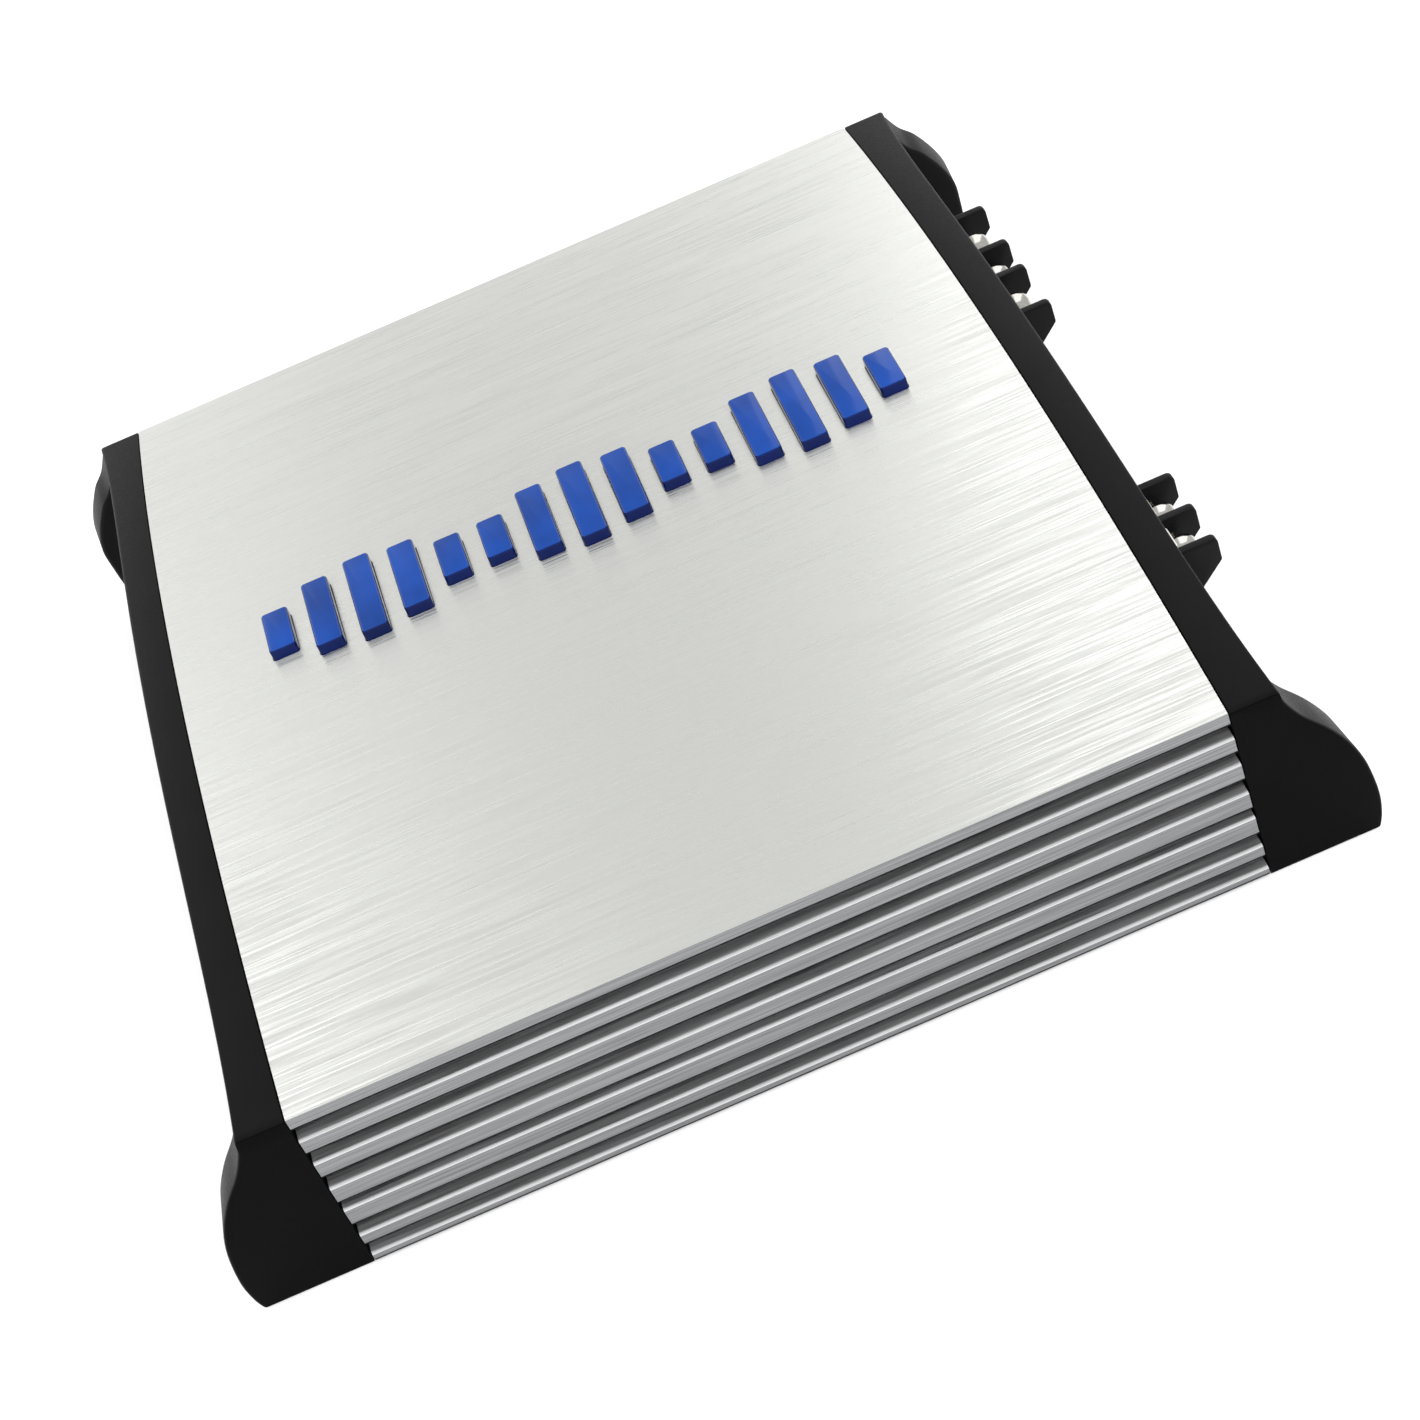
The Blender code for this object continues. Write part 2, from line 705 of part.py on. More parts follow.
def make_wing(side, rear, name):
    outline = smooth_run(REAR_WING_OUTLINE if rear > 0 else FRONT_WING_OUTLINE, 2)
    return loft(name, [wing_ring(width, height, side, rear) for height, width in outline])


def make_tab(side, rear, name):
    """Foot tab with the hole that a mounting screw goes through."""
    x_range = sorted((side * TAB_INNER, side * TAB_OUTER))
    y_range = sorted((rear * (TAB_Y - TAB_REACH[0]), rear * (TAB_Y + TAB_REACH[1])))
    outline = rounded((x_range[0], y_range[0]), (x_range[1], y_range[1]), TAB_ROUND, 2)
    hole = circle(side * TAB_HOLE_X, rear * TAB_Y, TAB_HOLE_RADIUS)
    return prism(name, outline, "Z", 0, TAB_THICKNESS, None, [hole])


def make_lug(side, rear, name):
    """Lug that locates the cap inside the heatsink's side."""
    low = (side * LUG_INNER, rear * (LUG_Y - LUG_SIZE), LUG_LOW)
    high = (side * (POCKET_FLOOR + MM), rear * (LUG_Y + LUG_SIZE), LUG_LOW + LUG_SIZE)
    return box(name, low, high)


def make_cap(side, name):
    inner, outer = sorted((side * PLATE_INNER, side * PLATE_OUTER))
    wall = cap_section(PLATE_HALF_DEPTH, PLATE_FOOT, PLATE_DROP)
    cap = prism(name, wall, "X", inner, outer, "black_moulding")
    inner, outer = sorted((side * (PLATE_INNER - OVERCUT), side * POCKET_FLOOR))
    pocket = cap_section(PLATE_HALF_DEPTH - POCKET_RIM, PLATE_FOOT + POCKET_RIM, PLATE_DROP + POCKET_RIM)
    cut(cap, prism(name + "_pocket", pocket, "X", inner, outer))
    unite(cap, make_strip(side, name + "_strip"))
    for rear, place in ((-1, "front"), (1, "rear")):
        unite(cap, make_wing(side, rear, f"{name}_wing_{place}"))
        unite(cap, make_tab(side, rear, f"{name}_tab_{place}"))
        unite(cap, make_lug(side, rear, f"{name}_lug_{place}"))
        cut(cap, cap_screw_hole(side, rear * BOSS_Y))
    return cap


def window(name, side, y_range, z_range):
    """A cutter for an opening in a cap's wall, with clearance all round."""
    low = (side * (POCKET_FLOOR - OVERCUT), y_range[0] - GAP, z_range[0] - GAP)
    high = (side * (PLATE_OUTER + OVERCUT), y_range[1] + GAP, z_range[1] + GAP)
    return box(name, low, high)


def round_window(name, side, y, z, radius):
    x_range = sorted((side * (POCKET_FLOOR - OVERCUT), side * (PLATE_OUTER + OVERCUT)))
    return cylinder(name, radius + GAP, (x_range[0], y, z), (x_range[1], y, z), "X")


def make_right_cap():
    cap = make_cap(1, "right_end_cap")
    for name, dividers in (("power", POWER_DIVIDERS), ("speaker", SPEAKER_DIVIDERS)):
        y_range = (dividers[0] - DIVIDER_THICKNESS, dividers[-1])
        cut(cap, window(name + "_window", 1, y_range, (BLOCK_LOW, BLOCK_HIGH)))
    holder_y = (HOLDER_LOW[1], HOLDER_HIGH[1])
    holder_z = (HOLDER_LOW[2], HOLDER_HIGH[2])
    cut(cap, window("fuse_window", 1, holder_y, holder_z))


def make_left_cap():
    cap = make_cap(-1, "left_end_cap")
    for name, y in zip(KNOB_NAMES, KNOB_Y):
        cut(cap, round_window(name + "_window", -1, y, CONTROL_HEIGHT, KNOB_RADIUS))
    for number, y in enumerate(RCA_Y, 1):
        cut(cap, round_window(f"rca_window_{number}", -1, y, CONTROL_HEIGHT, RCA_BARREL_RADIUS))
    for number, y in enumerate(LED_Y, 1):
        cut(cap, round_window(f"led_window_{number}", -1, y, CONTROL_HEIGHT, LED_RADIUS))
    cut(cap, window("switch_window", -1, *switch_slot()))
    cut(cap, window("port_window", -1, *port_face()))


# ---------------------------------------------------------------- badge


def make_badge():
    low = (-GUIDE_HALF_LENGTH, BAR_CENTRE_Y - GUIDE_HALF_WIDTH, GUIDE_LOW)
    high = (GUIDE_HALF_LENGTH, BAR_CENTRE_Y + GUIDE_HALF_WIDTH, GUIDE_HIGH)
    guide = box("badge_light_guide", low, high, "blue_guide")
    unite(guide, boxes("badge_bars", bar_corners(0, GUIDE_LOW + MM, BAR_TOP)))
    board = box(
        "badge_led_board",
        (-LED_BOARD_HALF_LENGTH, BAR_CENTRE_Y - LED_BOARD_HALF_WIDTH, LED_BOARD_LOW),
        (LED_BOARD_HALF_LENGTH, BAR_CENTRE_Y + LED_BOARD_HALF_WIDTH, LED_BOARD_HIGH),
        "white_board",
    )
    leds = []
    for i in range(BAR_COUNT):
        x = (i - (BAR_COUNT - 1) / 2) * BAR_PITCH
        low = (x - LED_CHIP_HALF, BAR_CENTRE_Y - LED_CHIP_HALF, LED_BOARD_HIGH - LED_CHIP_SINK)
        high = (x + LED_CHIP_HALF, BAR_CENTRE_Y + LED_CHIP_HALF, GUIDE_LOW - GAP)
        leds.append((low, high))
    unite(board, boxes("badge_leds", leds))


# ---------------------------------------------------------------- electronics inside


def make_main_board():
    outline = rounded(
        (-BOARD_HALF_LENGTH, -BOARD_HALF_WIDTH), (BOARD_HALF_LENGTH, BOARD_HALF_WIDTH), BOARD_ROUND
    )
    prism("main_circuit_board", outline, "Z", BOARD_LOW, BOARD_HIGH, "green_board")


def make_toroid(name, x, y, ring_radius, wire_radius, slot):
    bm = bmesh.new()
    rows = []
    for i in range(TOROID_RINGS):
        turn = 2 * math.pi * i / TOROID_RINGS
        row = []
        for j in range(TOROID_SIDES):
            tilt = 2 * math.pi * j / TOROID_SIDES
            reach = ring_radius + wire_radius * math.cos(tilt)
            spot = (reach * math.cos(turn), reach * math.sin(turn), wire_radius * math.sin(tilt))
            row.append(bm.verts.new(spot))
        rows.append(row)
    for i in range(TOROID_RINGS):
        for j in range(TOROID_SIDES):
            here, there = rows[i], rows[(i + 1) % TOROID_RINGS]
            k = (j + 1) % TOROID_SIDES
            bm.faces.new((here[j], here[k], there[k], there[j]))
    toroid = add_object(name, mesh_of(bm, name), slot)
    toroid.location = (x, y, DECK + wire_radius)


def make_capacitors():
    profile = [
        (0, CAPACITOR_HEIGHT),
        (CAPACITOR_RADIUS - CAPACITOR_ROUND, CAPACITOR_HEIGHT),
        (CAPACITOR_RADIUS, CAPACITOR_HEIGHT - CAPACITOR_ROUND),
        (CAPACITOR_RADIUS, CAPACITOR_GROOVE_HEIGHT + CAPACITOR_GROOVE),
        (CAPACITOR_RADIUS - CAPACITOR_GROOVE, CAPACITOR_GROOVE_HEIGHT),
        (CAPACITOR_RADIUS, CAPACITOR_GROOVE_HEIGHT - CAPACITOR_GROOVE),
        (CAPACITOR_RADIUS, 0),
        (0, 0),
    ]
    places = [(x, y) for x in CAPACITOR_X for y in CAPACITOR_Y]
    for number, (x, y) in enumerate(places, 1):
        turned(f"filter_capacitor_{number}", profile, (x, y, DECK), "Z", "sleeve_black", 20)


def make_transistors():
    """Power transistors pressed against each side wall through a pad by a clamp bar."""
    pad_outer = SIDE_INNER - GAP
    pad_inner = pad_outer - PAD_THICKNESS
    case_outer = pad_inner - GAP
    case_inner = case_outer - TRANSISTOR_THICKNESS
    bar_outer = case_inner - GAP
    low_x = TRANSISTOR_X[0] - TRANSISTOR_WIDTH
    high_x = TRANSISTOR_X[1] + TRANSISTOR_WIDTH
    case_low = DECK + TRANSISTOR_LIFT
    case_high = case_low + TRANSISTOR_HEIGHT
    for side, place in ((-1, "front"), (1, "rear")):
        box(
            f"insulator_pad_{place}",
            (low_x, side * pad_inner, DECK),
            (high_x, side * pad_outer, case_high + TRANSISTOR_LIFT),
            "grey_pad",
        )
        for number, x in enumerate(TRANSISTOR_X, 1):
            name = f"power_transistor_{place}_{number}"
            half = TRANSISTOR_WIDTH / 2
            low = (x - half, side * case_inner, case_low)
            case = box(name, low, (x + half, side * case_outer, case_high), "epoxy")
            leg_y = side * (case_inner + LEG_DEPTH)
            legs = [
                (
                    (x + offset - LEG_HALF[0], leg_y - LEG_HALF[1], DECK),
                    (x + offset + LEG_HALF[0], leg_y + LEG_HALF[1], case_low + MM),
                )
                for offset in (-LEG_PITCH, 0, LEG_PITCH)
            ]
            unite(case, boxes(name + "_legs", legs))
        box(
            f"transistor_clamp_bar_{place}",
            (low_x, side * (bar_outer - CLAMP_BAR_THICKNESS), case_low + CLAMP_BAR_HEIGHTS[0]),
            (high_x, side * bar_outer, case_low + CLAMP_BAR_HEIGHTS[1]),
            "zinc_steel",
            0.4 * MM,
        )


# ---------------------------------------------------------------- terminal end


def terminals(dividers):
    """Middle and half-width of the bay between each two dividers."""
    bays = []
    for low, high in zip(dividers, dividers[1:]):
        inner = high - DIVIDER_THICKNESS
        bays.append(((low + inner) / 2, (inner - low) / 2))
    return bays


def divider_outline():
    return [
        (BLOCK_FACE - DIVIDER_ROOT, BLOCK_HIGH),
        (DIVIDER_OUTER - DIVIDER_ROUND, BLOCK_HIGH),
        (DIVIDER_OUTER - 0.3 * DIVIDER_ROUND, BLOCK_HIGH - 0.3 * DIVIDER_ROUND),
        (DIVIDER_OUTER, BLOCK_HIGH - DIVIDER_ROUND),
        (DIVIDER_OUTER, DIVIDER_EDGE_LOW),
        DIVIDER_SHELF,
        (DIVIDER_SHELF[0], BLOCK_LOW),
        (BLOCK_FACE - DIVIDER_ROOT, BLOCK_LOW),
    ]


def make_terminal_block(name, dividers):
    low_y = dividers[0] - DIVIDER_THICKNESS
    high_y = dividers[-1]
    block = box(
        f"{name}_terminal_block",
        (BLOCK_INNER, low_y, BLOCK_LOW),
        (BLOCK_FACE, high_y, BLOCK_HIGH),
        "black_nylon",
    )
    flange_low = (FLANGE_X, low_y - BLOCK_FLANGE, BLOCK_LOW - BLOCK_FLANGE)
    flange_high = (POCKET_FLOOR - GAP, high_y + BLOCK_FLANGE, BLOCK_HIGH + BLOCK_FLANGE)
    unite(block, box(name + "_flange", flange_low, flange_high))
    for number, rear_face in enumerate(dividers, 1):
        fin = prism(
            f"{name}_divider_{number}",
            divider_outline(),
            "Y",
            rear_face - DIVIDER_THICKNESS + END_INSET,
            rear_face - END_INSET,
        )
        unite(block, fin)
    for number, (y, _) in enumerate(terminals(dividers), 1):
        start = (TERMINAL_SCREW_TIP - MM, y, TERMINAL_HEIGHT)
        end = (BLOCK_FACE + MM, y, TERMINAL_HEIGHT)
        hole = cylinder(f"{name}_tap_{number}", TERMINAL_SCREW_RADIUS + GAP, start, end, "X")
        cut(block, hole)


def make_terminal(name, y, half_width):
    """One clamp plate and its screw. Both origins lie on the screw's axis."""
    clamp_inner = BLOCK_FACE + GAP
    clamp_outer = clamp_inner + CLAMP_THICKNESS
    half = half_width - CLAMP_SIDE_PLAY
    outline = rounded(
        (y - half, TERMINAL_HEIGHT - CLAMP_HEIGHT / 2),
        (y + half, TERMINAL_HEIGHT + CLAMP_HEIGHT / 2),
        CLAMP_ROUND,
        2,
    )
    bore = circle(y, TERMINAL_HEIGHT, TERMINAL_SCREW_RADIUS + GAP)
    prism(f"{name}_clamp", outline, "X", clamp_inner, clamp_outer, "nickel", [bore])
    seat = (clamp_outer + GAP, y, TERMINAL_HEIGHT)
    profile = screw_profile(
        min(TERMINAL_HEAD_RADIUS, half - GAP),
        TERMINAL_HEAD_HEIGHT,
        TERMINAL_SCREW_RADIUS,
        clamp_outer + GAP - TERMINAL_SCREW_TIP,
    )
    turned(f"{name}_screw", profile, seat, "X", "nickel")


def make_terminals():
    make_terminal_block("power", POWER_DIVIDERS)
    make_terminal_block("speaker", SPEAKER_DIVIDERS)
    names = ("ground_terminal", "remote_terminal", "battery_terminal")
    for name, (y, half_width) in zip(names, terminals(POWER_DIVIDERS)):
        make_terminal(name, y, half_width)
    names = ("speaker_minus_terminal", "speaker_plus_terminal")
    for name, (y, half_width) in zip(names, terminals(SPEAKER_DIVIDERS)):
        make_terminal(name, y, half_width)


def make_fuses():
    holder = box("fuse_holder", HOLDER_LOW, HOLDER_HIGH, "black_nylon")
    length, thickness, height = FUSE_SIZE
    blade_thickness, blade_width = BLADE_SIZE
    pockets = []
    for y in FUSE_Y:
        pocket_half = thickness / 2 + GAP
        pocket_rise = height / 2 + GAP
        pockets.append(
            (
                (FUSE_INNER - GAP, y - pocket_half, FUSE_HEIGHT - pocket_rise),
                (HOLDER_HIGH[0] + MM, y + pocket_half, FUSE_HEIGHT + pocket_rise),
            )
        )
    cut(holder, boxes("fuse_pockets", pockets))
    slits = []
    for number, y in enumerate(FUSE_Y, 1):
        low = (FUSE_INNER, y - thickness / 2, FUSE_HEIGHT - height / 2)
        high = (FUSE_INNER + length, y + thickness / 2, FUSE_HEIGHT + height / 2)
        fuse = box(f"blade_fuse_{number}", low, high, "fuse_amber")
        blades = []
        for z in (FUSE_HEIGHT - BLADE_OFFSET, FUSE_HEIGHT + BLADE_OFFSET):
            half = blade_thickness / 2
            rise = blade_width / 2
            tip = FUSE_INNER - BLADE_LENGTH
            blades.append(((tip, y - half, z - rise), (FUSE_INNER + MM, y + half, z + rise)))
            slit_low = (tip - MM, y - half - GAP, z - rise - GAP)
            slits.append((slit_low, (FUSE_INNER + MM, y + half + GAP, z + rise + GAP)))
        unite(fuse, boxes(f"fuse_{number}_blades", blades))
    cut(holder, boxes("fuse_slits", slits))


# ---------------------------------------------------------------- control end


def switch_slot():
    """The slot that the switch's lever moves in."""
    half_y, half_z = SWITCH_SLOT[0] / 2, SWITCH_SLOT[1] / 2
    y_range = (SWITCH_Y - half_y, SWITCH_Y + half_y)
    return y_range, (CONTROL_HEIGHT - half_z, CONTROL_HEIGHT + half_z)


def port_face():
    half_y, half_z = PORT_FACE[0] / 2, PORT_FACE[1] / 2
    return (PORT_Y - half_y, PORT_Y + half_y), (CONTROL_HEIGHT - half_z, CONTROL_HEIGHT + half_z)


def make_control_board():
    low = (-CONTROL_BOARD_INNER, CONTROL_BOARD_Y[0], DECK)
    high = (-CONTROL_BOARD_OUTER, CONTROL_BOARD_Y[1], CONTROL_BOARD_TOP)
    box("control_board", low, high, "green_board", 0.3 * MM)


def make_knob(name, y):
    """A potentiometer and the knob that is pushed on its shaft."""
    low = (-POT_INNER, y - POT_HALF_SIZE, CONTROL_HEIGHT - POT_HALF_SIZE)
    high = (-POT_OUTER, y + POT_HALF_SIZE, CONTROL_HEIGHT + POT_HALF_SIZE)
    pot = box(f"{name}_potentiometer", low, high, "epoxy")
    start = (-SHAFT_OUTER, y, CONTROL_HEIGHT)
    end = (-POT_OUTER + MM, y, CONTROL_HEIGHT)
    unite(pot, cylinder(f"{name}_shaft", SHAFT_RADIUS, start, end, "X", segments=16))
    bore = SHAFT_RADIUS + GAP
    length = KNOB_OUTER - KNOB_INNER
    bore_depth = SHAFT_OUTER - KNOB_INNER + GAP
    profile = [
        (0, length - KNOB_DISH),
        (0.6 * KNOB_RADIUS, length - KNOB_DISH),
        (0.7 * KNOB_RADIUS, length),
        (KNOB_RADIUS - KNOB_ROUND, length),
        (KNOB_RADIUS, length - KNOB_ROUND),
        (KNOB_RADIUS, 0),
        (bore, 0),
        (bore, bore_depth),
        (0, bore_depth),
    ]
    turned(f"{name}_knob", profile, (-KNOB_INNER, y, CONTROL_HEIGHT), "-X", "black_nylon")


def make_switch():
    """Slide switch: its body behind the wall and the lever that stands through the slot."""
    body_y, body_z = SWITCH_BODY_HALF
    body = box(
        "phase_switch_body",
        (-POT_INNER, SWITCH_Y - body_y, CONTROL_HEIGHT - body_z),
        (-POT_OUTER, SWITCH_Y + body_y, CONTROL_HEIGHT + body_z),
        "zinc_steel",
    )
    lever_y, lever_z = LEVER_HALF
    groove_y = lever_y + SWITCH_TRAVEL / 2 + GAP
    groove = box(
        "phase_switch_groove",
        (-POT_OUTER + SWITCH_GROOVE_DEPTH, SWITCH_Y - groove_y, CONTROL_HEIGHT - SWITCH_GROOVE_HALF_HEIGHT),
        (-POT_OUTER - MM, SWITCH_Y + groove_y, CONTROL_HEIGHT + SWITCH_GROOVE_HALF_HEIGHT),
    )
    cut(body, groove)
    rest_y = SWITCH_Y - SWITCH_TRAVEL / 2
    box(
        "phase_switch_lever",
        (-LEVER_INNER, rest_y - lever_y, CONTROL_HEIGHT - lever_z),
        (-LEVER_OUTER, rest_y + lever_y, CONTROL_HEIGHT + lever_z),
        "black_nylon",
    )


def make_port():
    """Socket for the wired bass remote."""
    y_range, z_range = port_face()
    low = (-POT_INNER, y_range[0], z_range[0])
    port = box("remote_port", low, (-PORT_OUTER, y_range[1], z_range[1]), "black_nylon")
    half_y, half_z = PORT_SOCKET[0] / 2, PORT_SOCKET[1] / 2
    outer = -PORT_OUTER - MM
    low = (outer, PORT_Y - half_y, CONTROL_HEIGHT - half_z)
    high = (-PORT_SOCKET_FLOOR, PORT_Y + half_y, CONTROL_HEIGHT + half_z)
    notch_half = PORT_NOTCH[0] / 2
    notch_low = (outer, PORT_Y - notch_half, CONTROL_HEIGHT - half_z - PORT_NOTCH[1])
    notch_high = (-PORT_SOCKET_FLOOR, PORT_Y + notch_half, CONTROL_HEIGHT)
    cut(port, box("port_socket", low, high), box("port_notch", notch_low, notch_high))


def make_rca_jacks():
    """Two line inputs moulded in one block."""
    low = (-CONTROL_BOARD_INNER, RCA_Y[0] - RCA_BLOCK_MARGIN, DECK)
    high = (-POT_OUTER, RCA_Y[1] + RCA_BLOCK_MARGIN, RCA_BLOCK_TOP)
    block = box("rca_jack_block", low, high, "black_nylon")
    for number, y in enumerate(RCA_Y, 1):
        start = (-RCA_OUTER, y, CONTROL_HEIGHT)
        end = (-POT_OUTER + MM, y, CONTROL_HEIGHT)
        unite(block, cylinder(f"rca_barrel_{number}", RCA_BARREL_RADIUS, start, end, "X"))
        start = (-RCA_OUTER - MM, y, CONTROL_HEIGHT)
        end = (-RCA_OUTER + RCA_BORE_DEPTH, y, CONTROL_HEIGHT)
        cut(block, cylinder(f"rca_bore_{number}", RCA_BORE_RADIUS, start, end, "X", segments=16))


def make_indicators():
    dome = [(0, 0), (0.6 * LED_RADIUS, 0.2 * LED_RADIUS), (LED_RADIUS, 0.8 * LED_RADIUS)]
    profile = [(radius, LED_LENGTH - drop) for radius, drop in dome] + [(LED_RADIUS, 0), (0, 0)]
    for name, slot, y in (("power", "lens_blue", LED_Y[0]), ("protect", "lens_red", LED_Y[1])):
        turned(f"{name}_indicator", profile, (-LED_INNER, y, CONTROL_HEIGHT), "-X", slot, 16)


make_heatsink()
make_bottom_cover()
make_right_cap()
make_left_cap()
make_screws()
make_badge()
make_main_board()
make_toroid("power_transformer", *TRANSFORMER, "copper_winding")
make_toroid("output_choke", *CHOKE, "copper_winding")
make_capacitors()
make_transistors()
make_terminals()
make_fuses()
make_control_board()
for knob_name, knob_y in zip(KNOB_NAMES, KNOB_Y):
    make_knob(knob_name, knob_y)
make_switch()
make_port()
make_rca_jacks()
make_indicators()
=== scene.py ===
"""Looks of the car amplifier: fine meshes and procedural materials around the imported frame."""

import json
import math

import bmesh
import bpy
from mathutils import Matrix, Vector


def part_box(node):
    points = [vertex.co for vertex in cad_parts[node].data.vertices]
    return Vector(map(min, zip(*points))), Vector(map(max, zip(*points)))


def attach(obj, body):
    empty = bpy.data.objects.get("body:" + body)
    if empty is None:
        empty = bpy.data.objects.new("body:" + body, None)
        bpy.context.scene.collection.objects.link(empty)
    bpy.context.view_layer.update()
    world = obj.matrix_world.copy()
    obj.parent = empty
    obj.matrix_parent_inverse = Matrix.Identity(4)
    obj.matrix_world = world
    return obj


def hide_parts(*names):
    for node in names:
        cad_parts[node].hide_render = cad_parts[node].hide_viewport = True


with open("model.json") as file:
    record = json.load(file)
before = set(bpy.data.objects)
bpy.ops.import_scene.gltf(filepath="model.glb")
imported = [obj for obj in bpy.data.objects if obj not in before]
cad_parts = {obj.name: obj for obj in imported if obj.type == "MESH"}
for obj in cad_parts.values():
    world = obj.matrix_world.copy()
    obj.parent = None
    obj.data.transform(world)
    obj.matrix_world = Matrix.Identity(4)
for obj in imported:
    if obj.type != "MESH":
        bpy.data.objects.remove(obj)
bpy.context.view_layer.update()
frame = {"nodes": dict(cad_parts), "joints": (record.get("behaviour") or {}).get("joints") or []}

MM = 0.001

# ---------------------------------------------------------------- places read from the frame

SINK_LOW, SINK_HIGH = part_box("heatsink_shell")
GUIDE_LOW, GUIDE_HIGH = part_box("badge_light_guide")
HALF_LENGTH = SINK_HIGH.x
HALF_DEPTH = SINK_HIGH.y
TOP = SINK_HIGH.z

# Sizes that the frame's boxes don't give.
EDGE_HEIGHT = 48 * MM
CROWN_RISE = TOP - EDGE_HEIGHT
CROWN_RADIUS = (HALF_DEPTH**2 + CROWN_RISE**2) / (2 * CROWN_RISE)
PANEL_THICKNESS = 3.5 * MM
SIDE_INNER = 121 * MM
FIN_ROOT = 123.5 * MM
PANEL_EDGE_DROP = 3.6 * MM
FIN_DROPS = (
    (6.9 * MM, 11.3 * MM),
    (14.4 * MM, 19.2 * MM),
    (22.7 * MM, 27.7 * MM),
    (30.0 * MM, 35.2 * MM),
    (38.5 * MM, 42.1 * MM),
    (45.2 * MM, 47.6 * MM),
)
FLANGE_INNER = 113 * MM
FLANGE_LOW = 4.2 * MM
FLANGE_HIGH = 7.7 * MM
BOSS_Y = 100 * MM
BOSS_HALF_WIDTH = 4.5 * MM
BOSS_LOW = 40.5 * MM
BOSS_AXIS_HEIGHT = 45 * MM
GAP = 0.3 * MM
SHARP_ANGLE = 35
UV_PER_METRE = 5

# Turns that lay a shape made along Z on another axis.
LAY_ALONG = {
    "X": Matrix(((0, 0, 1), (1, 0, 0), (0, 1, 0))).to_4x4(),
    "-X": Matrix(((0, 0, -1), (-1, 0, 0), (0, 1, 0))).to_4x4(),
    "Y": Matrix(((1, 0, 0), (0, 0, -1), (0, 1, 0))).to_4x4(),
    "Z": Matrix.Identity(4),
    "-Z": Matrix(((1, 0, 0), (0, -1, 0), (0, 0, -1))).to_4x4(),
}


# ---------------------------------------------------------------- camera, floor and light

CAMERA_PLACE = Vector((7.1, -533.2, 451.2)) * MM
CAMERA_PITCH = math.radians(40.74)
CAMERA_YAW = math.radians(-0.08)
CAMERA_ROLL = math.radians(23.31)
CAMERA_LENS = 74.28
WORLD_STRENGTH = 0.85
FLOOR_HALF_SIZE = 6
FLOOR_DROP = 0.2 * MM


def make_camera():
    data = bpy.data.cameras.new("camera")
    data.lens = CAMERA_LENS
    data.sensor_width = 36
    data.clip_start = 0.01
    camera = bpy.data.objects.new("camera", data)
    bpy.context.scene.collection.objects.link(camera)
    turn = (
        Matrix.Rotation(CAMERA_YAW, 4, "Z")
        @ Matrix.Rotation(math.pi / 2 - CAMERA_PITCH, 4, "X")
        @ Matrix.Rotation(-CAMERA_ROLL, 4, "Z")
    )
    camera.matrix_world = Matrix.Translation(CAMERA_PLACE) @ turn
    bpy.context.scene.camera = camera


def add_light(name, size, power, matrix):
    data = bpy.data.lights.new(name, "AREA")
    data.shape = "RECTANGLE"
    data.size, data.size_y = size
    data.energy = power
    light = bpy.data.objects.new(name, data)
    bpy.context.scene.collection.objects.link(light)
    light.matrix_world = matrix
    return light


def aimed_light(name, place, aim, size, power):
    """A flat light that faces the point it is aimed at."""
    direction = Vector(aim) - Vector(place)
    turn = direction.to_track_quat("-Z", "Y").to_matrix().to_4x4()
    return add_light(name, size, power, Matrix.Translation(place) @ turn)


def softbox(name, foot, head, width, radiance):
    """A leaning flat light with one edge from foot to head, that reaches outwards from there."""
    foot, head = Vector(foot), Vector(head)
    up = (head - foot).normalized()
    outward = Vector((width, 0, 0))
    outward = (outward - outward.dot(up) * up).normalized()
    facing = outward.cross(up)
    if facing.dot(foot) < 0:
        facing = -facing
    across = up.cross(facing)
    turn = Matrix((across, up, facing)).transposed().to_4x4()
    centre = (foot + head) / 2 + outward * abs(width) / 2
    size = (abs(width), (head - foot).length)
    power = radiance * math.pi * size[0] * size[1]
    add_light(name, size, power, Matrix.Translation(centre) @ turn)


def make_studio():
    world = bpy.data.worlds.new("studio")
    bpy.context.scene.world = world
    world.use_nodes = True
    background = world.node_tree.nodes["Background"]
    background.inputs["Color"].default_value = (1, 1, 1, 1)
    background.inputs["Strength"].default_value = WORLD_STRENGTH
    bpy.context.scene.view_settings.view_transform = "Standard"
    key = aimed_light("key", (0.2, -1.4, 1.5), (0, -0.1, 0), (1.6, 1.0), 40)
    key.visible_glossy = False
    softbox("left_box", (-0.56, 1.75, 0.3), (-0.22, 0.1, 2.0), -0.9, 0.95)
    softbox("left_veil", (-0.22, 1.85, 0.3), (-0.08, 0.15, 2.05), -0.62, 0.16)
    softbox("right_box", (0.33, 1.75, 0.3), (0.15, 0.1, 2.0), 0.9, 1.15)
    bm = bmesh.new()
    bmesh.ops.create_grid(bm, x_segments=1, y_segments=1, size=FLOOR_HALF_SIZE)
    floor = mesh_object("studio_floor", bm, "floor")
    floor.location.z = -FLOOR_DROP


# ---------------------------------------------------------------- materials


def new_material(name, base, roughness, metallic=0.0, **constants):
    made = bpy.data.materials.new(name)
    made.use_nodes = True
    made.diffuse_color = (*base, 1)
    shader = made.node_tree.nodes["Principled BSDF"]
    shader.inputs["Base Color"].default_value = (*base, 1)
    shader.inputs["Roughness"].default_value = roughness
    shader.inputs["Metallic"].default_value = metallic
    for socket, value in constants.items():
        shader.inputs[socket].default_value = value
    return made, made.node_tree, shader


